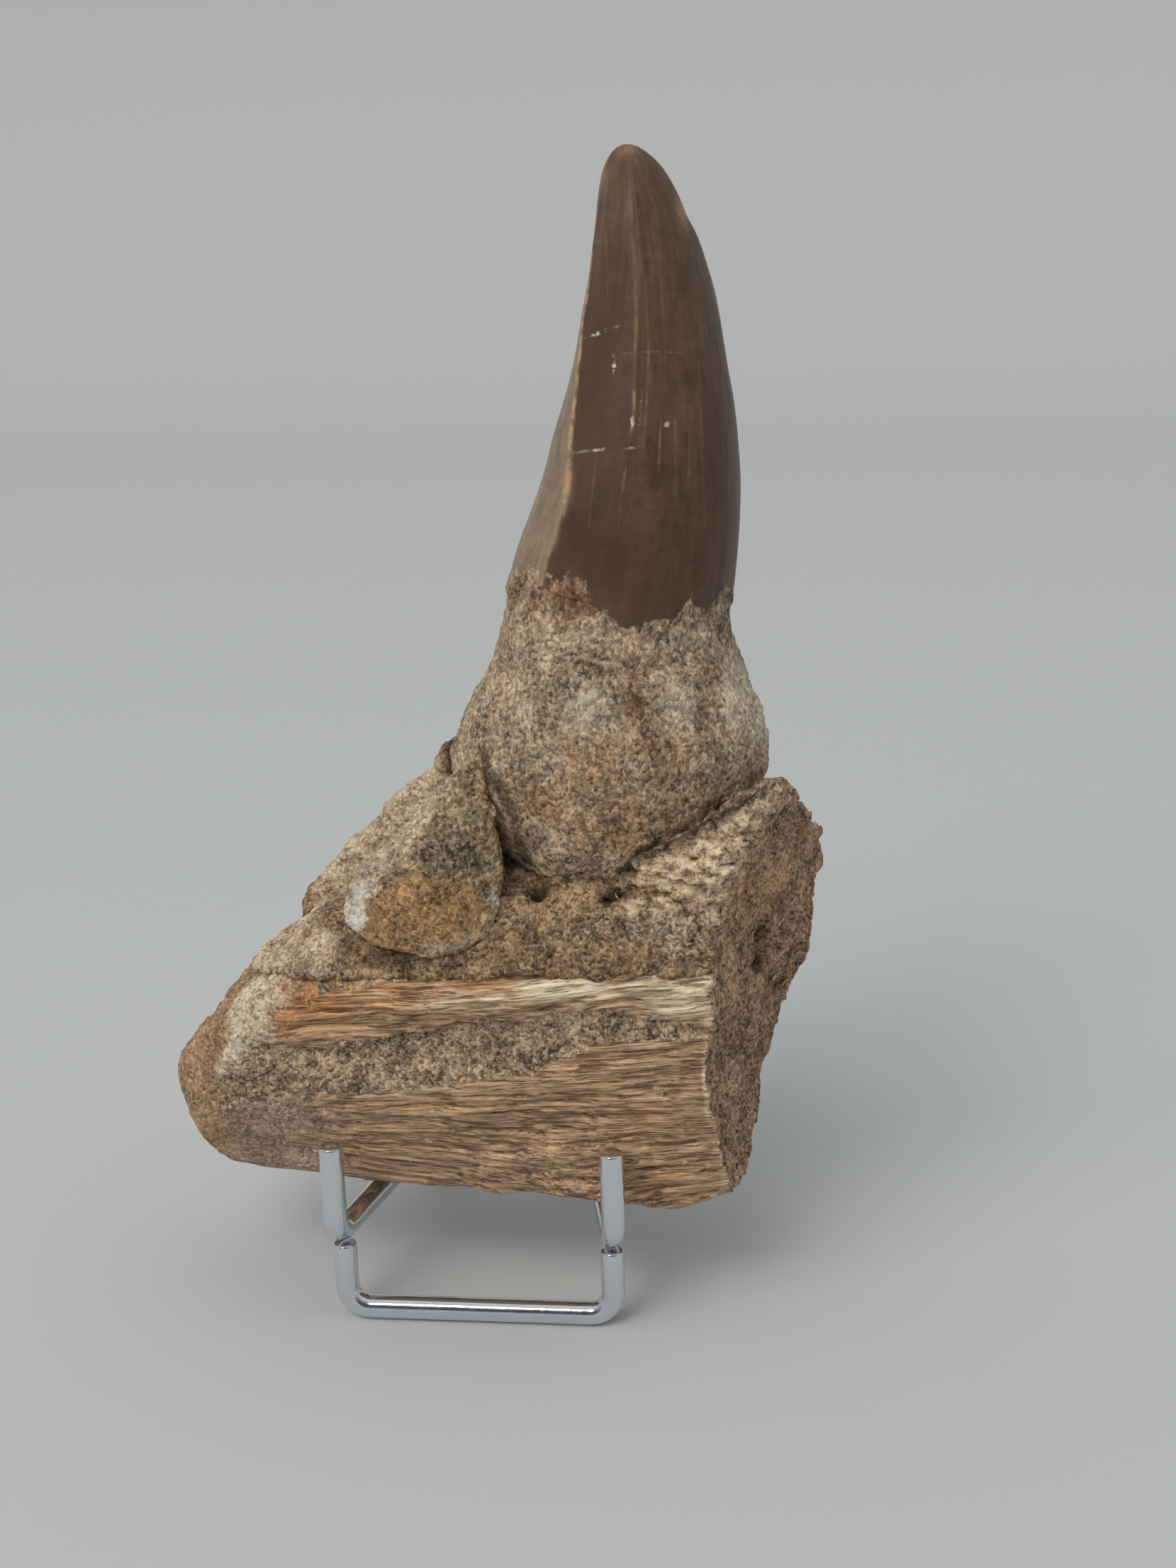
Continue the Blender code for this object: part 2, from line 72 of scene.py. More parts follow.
MM = 0.001
NOISE_SHIFT = np.array((31.7, 11.3, 7.9))         # mm, so that no noise is symmetric about the origin
PIT_SHIFT, SLIT_SHIFT, HOLE_SHIFT = 7.7, 5.0, 3.3     # mm between a noise's lumps and what is cut in them
LINE_REACH = 5.0          # half-widths from a thin line to where its mark ends
NO_LINE = 9.0             # half-widths that stand for no line near


# --- numbers and colours -------------------------------------------------------------------
def linear(code):
    """The linear red, green and blue of an sRGB hex code."""
    channels = [int(code[i:i + 2], 16) / 255 for i in (1, 3, 5)]
    return tuple(c / 12.92 if c <= 0.04045 else ((c + 0.055) / 1.055) ** 2.4 for c in channels)


def tones(colour, *factors):
    """Darker and lighter tones of a colour, one for each factor."""
    return [tuple(min(channel * factor, 1.0) for channel in colour) for factor in factors]


# --- fields: each takes the places of a skin's points, in mm, and gives a number for each ----
def smooth_step(low, high, values):
    """0 at low, 1 at high, and a smooth run between them. High may be below low."""
    t = np.clip((values - low) / (high - low), 0.0, 1.0)
    return t * t * (3 - 2 * t)


def between(values, rise, fall):
    """1 between a soft rise and a soft fall, each given as where it starts and ends, and else 0."""
    return smooth_step(*rise, values) * smooth_step(*fall, values)


def read_off(table, stations):
    """The columns of a table at some stations, straight between its rows."""
    rows = np.array(table)
    return [np.interp(stations, rows[:, 0], column) for column in rows[:, 1:].T]


def swell(places, sizes, octaves=3):
    """Noise from about -1 to 1, with lumps of one size, or of one size along each of X, Y and Z."""
    at = (places / np.array(sizes) + NOISE_SHIFT).tolist()
    return np.array([noise.fractal(p, 1.0, 2.1, octaves, noise_basis="PERLIN_ORIGINAL") for p in at])


def pits(places, sizes, depth, levels=(0.25, 0.5)):
    """Heights of scattered pits, which start and bottom out at two levels of a noise."""
    return -depth * smooth_step(*levels, swell(places + PIT_SHIFT, sizes, 2))


def near_spots(places, spots):
    """How far inside the nearest soft spot each place is, from 0 to that spot's strength."""
    best = np.zeros(len(places))
    for middle, reach, strength in spots:
        away = (((places - middle) / np.array(reach)) ** 2).sum(axis=1)
        best = np.maximum(best, strength * np.exp(-away))
    return best


def in_groove(places, points, reach):
    """How far inside a soft strip along a line each place is, from 0 to 1 on the line."""
    best = np.full(len(places), np.inf)
    for start, end in zip(points, points[1:]):
        run = np.subtract(end, start)
        along = np.clip((places - start) @ run / (run @ run), 0.0, 1.0)
        best = np.minimum(best, np.linalg.norm(places - start - along[:, None] * run, axis=1))
    return np.exp(-(best / reach) ** 2)


def thin_lines(places, lines):
    """The side of the nearest thin line that each place is on, in its half-widths, and its strength.

    A line has a half-width and points (X, Z, strength). The side changes sign across the line, so
    it stays sharp between the points of a skin that is coarser than the line.
    """
    nearest, strength = np.full(len(places), NO_LINE), np.zeros(len(places))
    flat = places[:, [0, 2]]
    for half_width, points in lines:
        for start, end in zip(points, points[1:]):
            run = np.subtract(end[:2], start[:2])
            along = np.clip((flat - start[:2]) @ run / (run @ run), 0.0, 1.0)
            off = flat - start[:2] - along[:, None] * run
            side = np.linalg.norm(off, axis=1) / half_width
            closer = side < np.abs(nearest)
            sign = np.where(off[:, 0] * run[1] - off[:, 1] * run[0] < 0, -1.0, 1.0)
            nearest = np.where(closer, side * sign, nearest)
            strength = np.where(closer, start[2] + (end[2] - start[2]) * along, strength)
    return nearest, strength * (np.abs(nearest) < LINE_REACH)


def gap_to(node, places):
    """The distance from each place to a CAD node."""
    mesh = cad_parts[node].data
    faces = [tuple(face.vertices) for face in mesh.polygons]
    tree = BVHTree.FromPolygons([vert.co for vert in mesh.vertices], faces)
    return np.array([tree.find_nearest(place)[3] for place in (places * MM).tolist()]) / MM


# --- settings ------------------------------------------------------------------------------
def colour_setting(name, description, code):
    return FloatVectorProperty(name=name, description=description, subtype="COLOR", size=3,
                               min=0.0, max=1.0, default=linear(code))


def length_setting(name, description, millimetres):
    return FloatProperty(name=name, description=description, default=millimetres * MM, min=0.0,
                         precision=5, subtype="DISTANCE", unit="LENGTH")


class ToothSettings(bpy.types.PropertyGroup):
    enamel: colour_setting("Enamel", "Main brown of the crown", "#5B4534")
    streak: colour_setting("Streaks", "Long pale streaks in the crown", "#967A58")
    stain: colour_setting("Stain", "Dark stain low on the crown", "#47302A")
    # the facet's colour is partly its own greyer colour and partly painted light from the left
    facet: colour_setting("Facet", "Greyer side of the crown, behind the cutting edge", "#958069")
    root: colour_setting("Root", "Sandy beige of the root", "#B09D85")
    refinement: IntProperty(name="Refinement", description="Subdivision of the tooth", default=3,
                            min=1, max=4)


class BoneSettings(bpy.types.PropertyGroup):
    tan: colour_setting("Tan", "Middle colour of the bone fibres", "#BE9C7C")
    orange: colour_setting("Orange", "Iron-stained fibres", "#D09866")
    cream: colour_setting("Cream", "Bleached fibres", "#F3D6B3")
    fibre: length_setting("Fibre", "Thickness of a bone fibre, coarse enough to show", 0.29)
    voxel: length_setting("Jaw grid", "Grid that the jaw's skin is made on", 0.38)


class SandSettings(bpy.types.PropertyGroup):
    sand: colour_setting("Sand", "Middle colour of the sandstone", "#9F8568")
    pale: colour_setting("Pale sand", "Dry, dusty sandstone", "#DCC5A7")
    grain: length_setting("Grain", "Size of a sand grain, coarse enough to show", 0.44)
    voxel: length_setting("Sand grid", "Grid that the sandstone's skin is made on", 0.33)
    fragment_voxel: length_setting("Fragment grid", "Grid of the fragment's skin", 0.22)


class StandSettings(bpy.types.PropertyGroup):
    wire: length_setting("Wire", "Diameter of the chromed wire", 3.0)
    bend: length_setting("Bend", "Radius of the tight bends, on the wire's centre line", 3.0)
    rest_corner: length_setting("Rest corner", "Radius of the back rest's top corners", 5.0)
    chrome: colour_setting("Chrome", "Tint of the plating", "#DDE1E6")
    sides: IntProperty(name="Sides", description="Sides of the round wire", default=32, min=8)


class StudioSettings(bpy.types.PropertyGroup):
    paper: colour_setting("Paper", "Pale paper that the stand is on", "#C6C9CA")
    sky: FloatProperty(name="Sky", description="Strength of the light from all round", default=0.61)
    lamp: FloatProperty(name="Lamp", description="Strength of the broad light, front left", default=1.30)
    window: FloatProperty(name="Window", description="Watts of the near window, front left", default=0.75)
    lens: FloatProperty(name="Lens", description="Focal length in millimetres", default=48.82)


SETTINGS = {
    "fossil_tooth": ToothSettings,
    "fossil_bone": BoneSettings,
    "fossil_sand": SandSettings,
    "fossil_stand": StandSettings,
    "fossil_studio": StudioSettings,
}


# --- nodes ---------------------------------------------------------------------------------
MIX_FACTOR, MIX_A, MIX_B, MIX_RESULT = 0, 6, 7, 2    # the colour sockets of a Mix node
DUSTY_GLOSS = 0.3         # share of a polished surface's reflection that dusty stone keeps
# colour and strength of the painted shade laid in grooves and beside parts that sit close together
PAINTED_SHADE, PAINTED_SHADE_AMOUNT = "#30251C", 0.62
# near-black colour of the painted shade deep in holes and pits
HOLE_DARK = "#1E1510"
RUST_TINT = (1.12, 0.90, 0.66, 1.0)
SPONGE_CREAM = "#EACAA8"
PORE = 1.0 * MM           # between the pores of weathered spongy bone


def add_node(tree, kind, inputs=None, **settings):
    """Adds a shader node, sets it up, and fills its inputs with values or other nodes' outputs."""
    node = tree.nodes.new("ShaderNode" + kind)
    for name, value in settings.items():
        setattr(node, name, value)
    for name, value in (inputs or {}).items():
        if isinstance(value, bpy.types.NodeSocket):
            tree.links.new(value, node.inputs[name])
        else:
            node.inputs[name].default_value = value
    return node


def new_material(name):
    """An empty material, its node tree, and the place on the object that its patterns read."""
    made = bpy.data.materials.new(name)
    made.use_nodes = True
    tree = made.node_tree
    tree.nodes.clear()
    return made, tree, add_node(tree, "TexCoord").outputs["Object"]


def finish_material(tree, height, depth, inputs):
    """Ends a material: a bump of a real depth on a shader with some inputs."""
    bump = add_node(tree, "Bump", {"Height": height, "Distance": depth, "Strength": 1.0})
    shader = add_node(tree, "BsdfPrincipled", {**inputs, "Normal": bump.outputs["Normal"]})
    add_node(tree, "OutputMaterial", {"Surface": shader.outputs["BSDF"]})


def finish_dusty(tree, colour, height, depth, roughness):
    """Ends a dull, dusty material from its colour, its bump and its roughness."""
    finish_material(tree, height, depth, {
        "Base Color": colour, "Roughness": roughness, "Specular IOR Level": DUSTY_GLOSS})


def colour_steps(tree, factor, positions, colours):
    """A colour that runs through some linear colours, each at a position from 0 to 1."""
    ramp = add_node(tree, "ValToRGB", {"Fac": factor})
    elements = ramp.color_ramp.elements
    while len(elements) < len(colours):
        elements.new(0.5)
    for element, position, colour in zip(elements, positions, colours):
        element.position = position
        element.color = (*colour, 1.0)
    return ramp.outputs["Color"]


def weighted(tree, parts, start):
    """The sum of some outputs, each times its weight, and a start value."""
    total = start
    for output, weight in parts:
        total = add_node(tree, "Math", {0: output, 1: weight, 2: total},
                         operation="MULTIPLY_ADD").outputs[0]
    return total


def stretched_noise(tree, place, sizes, detail=3.0):
    """Noise whose lumps have the given sizes along the three directions, in metres."""
    scaled = add_node(tree, "VectorMath", {
        0: place, 1: tuple(1 / size for size in sizes)}, operation="MULTIPLY")
    made = add_node(tree, "TexNoise", {
        "Vector": scaled.outputs["Vector"], "Scale": 1.0, "Detail": detail, "Roughness": 0.65})
    return made.outputs["Fac"]


def ragged_mask(tree, breakup, mark, ragged, soft=0.25):
    """A mark that was stored on the points, with a soft edge that some noise breaks up."""
    stored = add_node(tree, "Attribute", attribute_name=mark).outputs["Fac"]
    summed = weighted(tree, ((stored, 1.0), (breakup, 4 * ragged)), -2 * ragged)
    edge = add_node(tree, "MapRange", {
        "Value": summed, "From Min": 0.5 - soft, "From Max": 0.5 + soft}, interpolation_type="SMOOTHSTEP")
    return edge.outputs["Result"]


def lay_over(tree, mask, under, over):
    """Puts one layer, a colour and a height, over another where a mask is 1."""
    colour = add_node(tree, "Mix", {MIX_FACTOR: mask, MIX_A: under[0], MIX_B: over[0]},
                      data_type="RGBA")
    height = add_node(tree, "Mix", {"Factor": mask, "A": under[1], "B": over[1]})
    return colour.outputs[MIX_RESULT], height.outputs["Result"]


def stained(tree, colour, stains):
    """A colour with other linear colours laid over it in turn, each as far as its mask goes to 1."""
    for mask, over in stains:
        colour = add_node(tree, "Mix", {MIX_FACTOR: mask, MIX_A: colour, MIX_B: (*over, 1.0)},
                          data_type="RGBA").outputs[MIX_RESULT]
    return colour


def darkened(tree, breakup, layer):
    """A layer with ragged painted shade where the mark dark is."""
    painted_shade = weighted(tree, ((ragged_mask(tree, breakup, "dark", 0.25), PAINTED_SHADE_AMOUNT),), 0.0)
    return stained(tree, layer[0], ((painted_shade, linear(PAINTED_SHADE)),)), layer[1]


def painted_hole_shade(tree, mark, colour):
    """Painted shade: a colour that goes nearly black as a stored mark goes to 1, as deep in a hole."""
    amount = add_node(tree, "Attribute", attribute_name=mark).outputs["Fac"]
    return stained(tree, colour, ((amount, linear(HOLE_DARK)),))


def stored_grain(tree, mark):
    """The places along and across a piece's own grain, as stored on its points, in metres."""
    stored = add_node(tree, "Attribute", attribute_name=mark).outputs["Vector"]
    return add_node(tree, "VectorMath", {0: stored, "Scale": MM}, operation="SCALE").outputs["Vector"]


def sand_pattern(tree, place, grain):
    """Grains of sandstone: a tone of about 0.5 and a hue for each grain, and their height."""
    warp = add_node(tree, "TexNoise", {"Vector": place, "Scale": 1 / (3 * grain), "Detail": 1.0})
    pushed = add_node(tree, "VectorMath", {
        0: warp.outputs["Color"], 1: (grain * 0.7,) * 3, 2: place}, operation="MULTIPLY_ADD")
    cells = add_node(tree, "TexVoronoi", {
        "Vector": pushed.outputs["Vector"], "Scale": 1 / grain, "Randomness": 1.0})
    own = add_node(tree, "SeparateXYZ", {"Vector": cells.outputs["Color"]})
    dust = add_node(tree, "TexNoise", {
        "Vector": place, "Scale": 1 / (0.85 * grain), "Detail": 4.0, "Roughness": 0.7}).outputs["Fac"]
    mottles = stretched_noise(tree, place, (4 * grain,) * 3)
    clouds = stretched_noise(tree, place, (11 * grain,) * 3)
    tone = weighted(tree, ((own.outputs["X"], 0.34), (dust, 1.05), (mottles, 0.35), (clouds, 0.7)), -0.72)
    height = weighted(tree, ((cells.outputs["Distance"], -0.4), (dust, 1.0), (mottles, 0.35)), 0.0)
    return tone, own.outputs["Y"], height


def sand_layer(tree, pattern, colour, contrast):
    """Sandstone: grains of many tones, from dark gaps to bright quartz, matt and rough."""
    tone, hue, height = pattern
    spread = weighted(tree, ((tone, contrast),), 0.5 - 0.5 * contrast)
    shade = colour_steps(tree, spread, (0.20, 0.35, 0.50, 0.63, 0.79),
                         tones(colour, 0.22, 0.58, 1.0, 1.45, 2.2))
    rusty = add_node(tree, "MapRange", {
        "Value": hue, "From Min": 0.55, "From Max": 1.0, "To Max": 0.4})
    warm = add_node(tree, "Mix", {
        MIX_FACTOR: rusty.outputs["Result"], MIX_A: shade, MIX_B: RUST_TINT},
        data_type="RGBA", blend_type="MULTIPLY")
    return warm.outputs[MIX_RESULT], height


def sand_over(tree, grains, breakup, under, sands):
    """Lays sands over a layer. Each has its mark, colour, contrast, and how ragged and soft its edge is."""
    for mark, colour, contrast, ragged, soft in sands:
        mask = ragged_mask(tree, breakup, mark, ragged, soft)
        under = lay_over(tree, mask, under, sand_layer(tree, grains, colour, contrast))
    return under


def sponge_layer(tree, place):
    """Weathered spongy bone: chunky, bright flakes with small dark pores between them."""
    flakes = stretched_noise(tree, place, (1.5 * PORE, 1.3 * PORE, 1.1 * PORE), 4.0)
    crumbs = stretched_noise(tree, place, (0.4 * PORE,) * 3)
    tone = weighted(tree, ((flakes, 1.1), (crumbs, 0.6)), -0.35)
    shade = colour_steps(tree, tone, (0.30, 0.41, 0.50, 0.62),
                         tones(linear(SPONGE_CREAM), 0.20, 0.50, 0.85, 1.35))
    return shade, tone


def fibre_layers(tree, grain, fibre, colours):
    """Bone split along its grain: one layer a colour, of dull laths with dark slits between them."""
    laths = weighted(tree, (
        (stretched_noise(tree, grain, (22 * fibre, fibre, fibre)), 0.58),
        (stretched_noise(tree, grain, (60 * fibre, 3 * fibre, 3 * fibre)), 0.55),
        (stretched_noise(tree, grain, (5 * fibre, 0.8 * fibre, 0.8 * fibre)), 0.34)), -0.235)
    splits = stretched_noise(tree, grain, (30 * fibre, 0.9 * fibre, 0.9 * fibre), 2.0)
    slits = add_node(tree, "MapRange", {
        "Value": splits, "From Min": 0.55, "From Max": 0.64, "To Max": 0.72}).outputs["Result"]
    height = weighted(tree, ((slits, -0.6),), laths)
    layers = []
    for colour in colours:
        shade = colour_steps(tree, laths, (0.39, 0.47, 0.55, 0.64), tones(colour, 0.42, 0.82, 1.18, 1.65))
        layers.append((stained(tree, shade, ((slits, tones(colour, 0.22)[0]),)), height))
    return layers


# --- meshes --------------------------------------------------------------------------------
SHARP = math.radians(38)  # turn between two faces from which their edge stays fairly crisp
CREASE = 0.7              # how crisp, from 0 to 1


def new_piece(name, mesh, material, node):
    """Links a finished mesh as a piece that stands for a CAD node and rides with the part."""
    mesh.materials.clear()
    mesh.materials.append(material)
    mesh.shade_smooth()
    piece = bpy.data.objects.new(name, mesh)
    bpy.context.scene.collection.objects.link(piece)
    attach(piece, "root")
    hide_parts(node)


def evaluated_mesh(obj):
    """An object's mesh with its modifiers applied. The object is removed."""
    depsgraph = bpy.context.evaluated_depsgraph_get()
    mesh = bpy.data.meshes.new_from_object(obj.evaluated_get(depsgraph))
    bpy.data.objects.remove(obj)
    return mesh


def mesh_of(bm, name):
    """A bmesh made a mesh with a name. The bmesh is freed."""
    mesh = bpy.data.meshes.new(name)
    bm.to_mesh(mesh)
    bm.free()
    return mesh


def only(kinds, items):
    """The vertices, edges or faces among some parts of a bmesh."""
    return [item for item in items if isinstance(item, kinds)]


def merged_copy(node, crease_angle):
    """A working copy of a CAD node, in one skin, with its sharp edges creased."""
    bm = bmesh.new()
    bm.from_mesh(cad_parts[node].data)
    bmesh.ops.remove_doubles(bm, verts=bm.verts, dist=0.01 * MM)
    creases = bm.edges.layers.float.new("crease_edge")
    for edge in bm.edges:
        if len(edge.link_faces) == 2 and edge.calc_face_angle(0.0) > crease_angle:
            edge[creases] = CREASE
    mesh = mesh_of(bm, node)
    if "custom_normal" in mesh.attributes:
        mesh.attributes.remove(mesh.attributes["custom_normal"])
    obj = bpy.data.objects.new("working " + node, mesh)
    bpy.context.scene.collection.objects.link(obj)
    return obj


def even_skin(node, voxel, soften):
    """A CAD node's shape as one fine, even skin that can be carved."""
    obj = merged_copy(node, SHARP)
    round_off = obj.modifiers.new("round off", "SUBSURF")
    round_off.levels = round_off.render_levels = 2
    grid = obj.modifiers.new("even grid", "REMESH")
    grid.mode = "VOXEL"
    grid.voxel_size = voxel
    relax = obj.modifiers.new("relax", "SMOOTH")
    relax.iterations = soften
    return evaluated_mesh(obj)


def carve(mesh, skin):
    """Moves each point along its normal and stores its marks, as skin(places, normals) gives them, in mm."""
    places = np.empty(len(mesh.vertices) * 3)
    normals = np.empty(len(mesh.vertices) * 3)
    mesh.vertices.foreach_get("co", places)
    mesh.vertex_normals.foreach_get("vector", normals)
    places, normals = places.reshape(-1, 3) / MM, normals.reshape(-1, 3)
    move, marks = skin(places, normals)
    for name, values in marks.items():
        kind, field = ("FLOAT", "value") if values.ndim == 1 else ("FLOAT_VECTOR", "vector")
        mesh.attributes.new(name, kind, "POINT").data.foreach_set(field, values.astype("f").ravel())
    low, high = (np.array(corner) for corner in CAD_BOX)
    moved = np.clip((places + normals * move[:, None]) * MM, low, high)
    mesh.vertices.foreach_set("co", moved.ravel())
    mesh.update()


def carved_piece(name, node, voxel, soften, skin, material):
    """A piece carved from an even skin of a CAD node, which it stands in for."""
    mesh = even_skin(node, voxel, soften)
    carve(mesh, skin)
    new_piece(name, mesh, material, node)


# --- tooth ---------------------------------------------------------------------------------
LEVELS = 48               # level sections that the tooth's width is read from
SLAB = 1.7                # half-height of the slab of points that makes up a level
EDGE_TURN = math.radians(56.0)     # how far the left cutting edge has turned to the front
EDGE_TURNS = (-0.15, 0.8) # where that turn starts and ends, as shares of the way down the crown
CROWN = (142.9, 88.0)     # tip and base of the enamel
ENAMEL_WAVE, ENAMEL_FADE = 0.9, 3.6    # how far the enamel's lower edge wanders, and fades out
FACET_FOOT = (84.0, 88.0) # heights between which the facet begins
EDGE_SPAN = ((86.0, 93.0), (135.0, 122.0))     # heights where the cutting edge's ridge starts and ends
RIM_SPAN = ((97.0, 104.0), (140.0, 126.0))     # and its pale rim
RIM = 0.3                 # half-width of that rim
ENAMEL_EDGE = (           # direction round the tooth in degrees, height where the enamel ends
    (-180, 93.0), (-140, 95.5), (-124, 94.3), (-113, 95.0), (-104, 94.0), (-95, 91.6), (-88, 90.0),
    (-80, 89.0), (-70, 88.8), (-57, 89.8), (-47, 91.6), (-41, 90.3), (-33, 89.4), (-22, 90.9),
    (-11, 91.6), (20, 89.5), (60, 91.5), (110, 90.5), (150, 93.5), (180, 93.0),
)
SLIM = (124.5, 7.5, 0.5)  # height, reach and depth of the slight hollow in the left edge
STREAKS = (               # half-width, then points down the front of the crown: across, up, strength
    (0.20, ((20.6, 141.5, 0.0), (21.0, 136.0, 0.40), (21.5, 130.0, 0.25), (21.8, 124.0, 0.35),
            (21.6, 119.0, 0.85), (21.5, 114.6, 1.0), (21.3, 111.8, 0.9), (21.0, 110.5, 0.2))),
    (0.15, ((22.8, 128.0, 0.0), (23.2, 121.0, 0.45), (23.0, 115.0, 0.55), (22.6, 110.5, 0.3))),
    (0.14, ((24.6, 112.4, 0.4), (24.4, 109.0, 0.65), (24.3, 106.8, 0.1))),
    (0.14, ((26.2, 113.0, 0.45), (26.2, 104.0, 0.2))),
    (0.13, ((27.8, 111.4, 0.45), (27.7, 106.5, 0.2))),
    (0.15, ((20.4, 107.0, 0.45), (19.7, 101.0, 0.15))),
    (0.14, ((17.8, 134.0, 0.25), (18.3, 124.0, 0.12))),
    (0.13, ((24.6, 128.0, 0.28), (25.1, 119.0, 0.15))),
    (0.15, ((28.8, 119.0, 0.20), (29.5, 100.0, 0.15))),
    (0.14, ((17.0, 108.0, 0.25), (16.2, 101.0, 0.1))),
)
CRACKS = (                # half-width, then points along a fine crack: across, up, strength
    (0.17, ((15.7, 121.9, 0.2), (16.3, 122.1, 0.9), (17.0, 122.4, 1.0), (17.9, 122.7, 0.55),
            (18.9, 123.0, 0.5), (19.9, 123.2, 0.1))),
    (0.17, ((18.9, 120.4, 0.1), (19.1, 119.4, 0.3), (19.1, 118.5, 0.5))),
    (0.12, ((20.2, 120.1, 0.14), (22.0, 120.3, 0.0), (23.4, 120.3, 0.14), (27.3, 120.0, 0.05))),
    (0.14, ((14.1, 109.0, 0.1), (15.4, 109.2, 0.6), (16.2, 109.3, 0.1), (16.8, 109.35, 0.9),
            (17.9, 109.5, 0.6), (18.6, 109.6, 0.0), (20.2, 109.6, 0.0), (20.8, 109.6, 0.4),
            (21.5, 109.6, 0.7), (22.2, 109.8, 0.0))),
)
SPECKS = (
    ((19.1, 10.9, 118.8), (0.40, 2.0, 0.5), 0.65), ((25.2, 9.0, 112.1), (0.42, 2.0, 0.42), 0.7),
    ((16.9, 13.6, 122.4), (0.6, 2.0, 0.25), 0.9), ((17.5, 12.0, 117.3), (0.25, 2.0, 0.25), 0.5),
    ((21.3, 8.6, 112.6), (0.28, 2.0, 0.8), 0.9), ((24.0, 8.2, 111.0), (0.5, 2.0, 0.9), 0.35),
)
DARK_STAIN = (
    ((14.8, 7.0, 99.5), (4.0, 6.0, 5.5), 0.9), ((18.5, 6.0, 96.5), (4.5, 6.0, 4.0), 0.75),
    ((24.0, 5.0, 92.0), (6.0, 6.0, 3.0), 0.5), ((30.5, 12.0, 108.0), (2.5, 8.0, 14.0), 0.45),
    ((25.5, 8.0, 115.0), (1.6, 5.0, 4.0), 0.35), ((28.0, 25.0, 105.0), (8.0, 8.0, 12.0), 0.5),
    ((17.0, 11.0, 116.0), (4.5, 8.0, 17.0), 0.75),
)
WORN = (                  # paler, rubbed places: the tip, the chip's scar and the right edge
    ((20.3, 20.0, 143.0), (1.6, 3.0, 0.8), 0.35), ((27.0, 20.5, 136.6), (0.9, 3.0, 2.6), 0.9),
    ((13.5, 8.9, 105.2), (0.6, 1.5, 1.9), 1.3), ((17.3, 19.0, 140.0), (0.8, 3.0, 1.8), 0.45),
)
CHIPS = (                 # flakes missing from the crown: middle, reach, depth
    ((28.0, 20.0, 136.0), (1.2, 4.0, 1.9), 0.45), ((13.3, 8.8, 105.4), (0.8, 1.6, 2.0), 0.35),
    ((17.2, 18.0, 140.8), (0.8, 2.0, 0.9), 0.22),
)
ROOT_RED = (((13.6, 4.9, 92.2), (6.0, 5.0, 2.8), 1.0), ((5.0, 9.0, 93.0), (4.0, 5.0, 3.0), 0.5))
ROOT_BROWN = (
    ((9.8, 5.0, 81.2), (4.5, 4.0, 2.0), 0.50), ((21.3, 3.4, 80.8), (2.6, 3.0, 4.0), 0.80),
    ((30.5, 9.0, 82.5), (1.8, 4.0, 3.0), 0.70), ((29.6, 6.5, 78.6), (2.0, 3.0, 3.0), 0.65),
    ((16.5, 3.0, 73.0), (7.0, 4.0, 5.0), 0.65), ((24.0, 3.0, 73.5), (7.0, 4.0, 5.0), 0.65),
    ((11.0, 4.0, 68.0), (7.0, 5.0, 6.0), 0.75), ((20.0, 2.0, 65.0), (12.0, 5.0, 6.0), 0.75),
    ((28.0, 27.0, 78.0), (7.0, 6.0, 6.0), 0.5), ((6.0, 24.0, 84.0), (5.0, 7.0, 6.0), 0.5),
)
ROOT_CHALK = (
    ((34.0, 12.0, 80.5), (4.0, 8.0, 6.5), 0.95), ((35.6, 15.0, 75.5), (2.8, 8.0, 6.0), 0.80),
    ((15.5, 3.0, 80.0), (4.0, 3.0, 3.0), 0.80), ((26.5, 5.0, 80.0), (3.0, 3.0, 4.0), 0.75),
    ((8.0, 5.0, 79.0), (4.0, 4.0, 3.0), 0.50), ((28.0, 9.0, 87.0), (6.0, 5.0, 2.2), 0.35),
    ((14.0, 29.0, 80.0), (8.0, 5.0, 7.0), 0.6), ((33.5, 9.0, 70.0), (2.5, 5.0, 4.0), 0.5),
)
STEP = 0.5                # how far the root's curved step stands out
STEP_LINE = ((17.0, 82.0), (21.0, 83.2), (24.2, 83.9), (30.0, 84.2))   # across, height of the step
STEP_SPAN = ((17.5, 20.5), (31.0, 28.5))       # across, where it starts and ends
STEP_SIDE = ((-5.0, -0.5), (0.25, -0.35))      # its long lower and its sharp upper side, from its line
CREST_GROOVE = (          # the dark groove between the root and the crest of the jaw
    (36.1, 6.0, 69.3), (31.5, 3.4, 66.6), (26.4, 3.0, 64.0), (21.6, 4.0, 61.0), (19.4, 4.4, 58.2),
    (18.1, 2.4, 57.0),
)
FRAGMENT_GROOVE = (       # the one between the root and its fragment
    (2.3, 6.8, 73.5), (4.6, 4.6, 68.7), (6.0, 4.6, 65.6), (6.4, 6.0, 62.0), (6.8, 7.2, 59.0),
    (7.8, 6.1, 56.8), (9.0, 3.5, 56.4),
)


def level_boxes(node, count):
    """The middle and half-widths of a node's level sections, from its lowest to its highest point."""
    verts = np.array([vert.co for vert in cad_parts[node].data.vertices]) / MM
    low, high = verts[:, 2].min(), verts[:, 2].max()
    rows = []
    for height in np.linspace(low, high, count):
        slab = verts[np.abs(verts[:, 2] - height) < SLAB, :2]
        least, most = slab.min(axis=0), slab.max(axis=0)
        rows.append((height, *(least + most) / 2, *(most - least) / 2))
    return rows


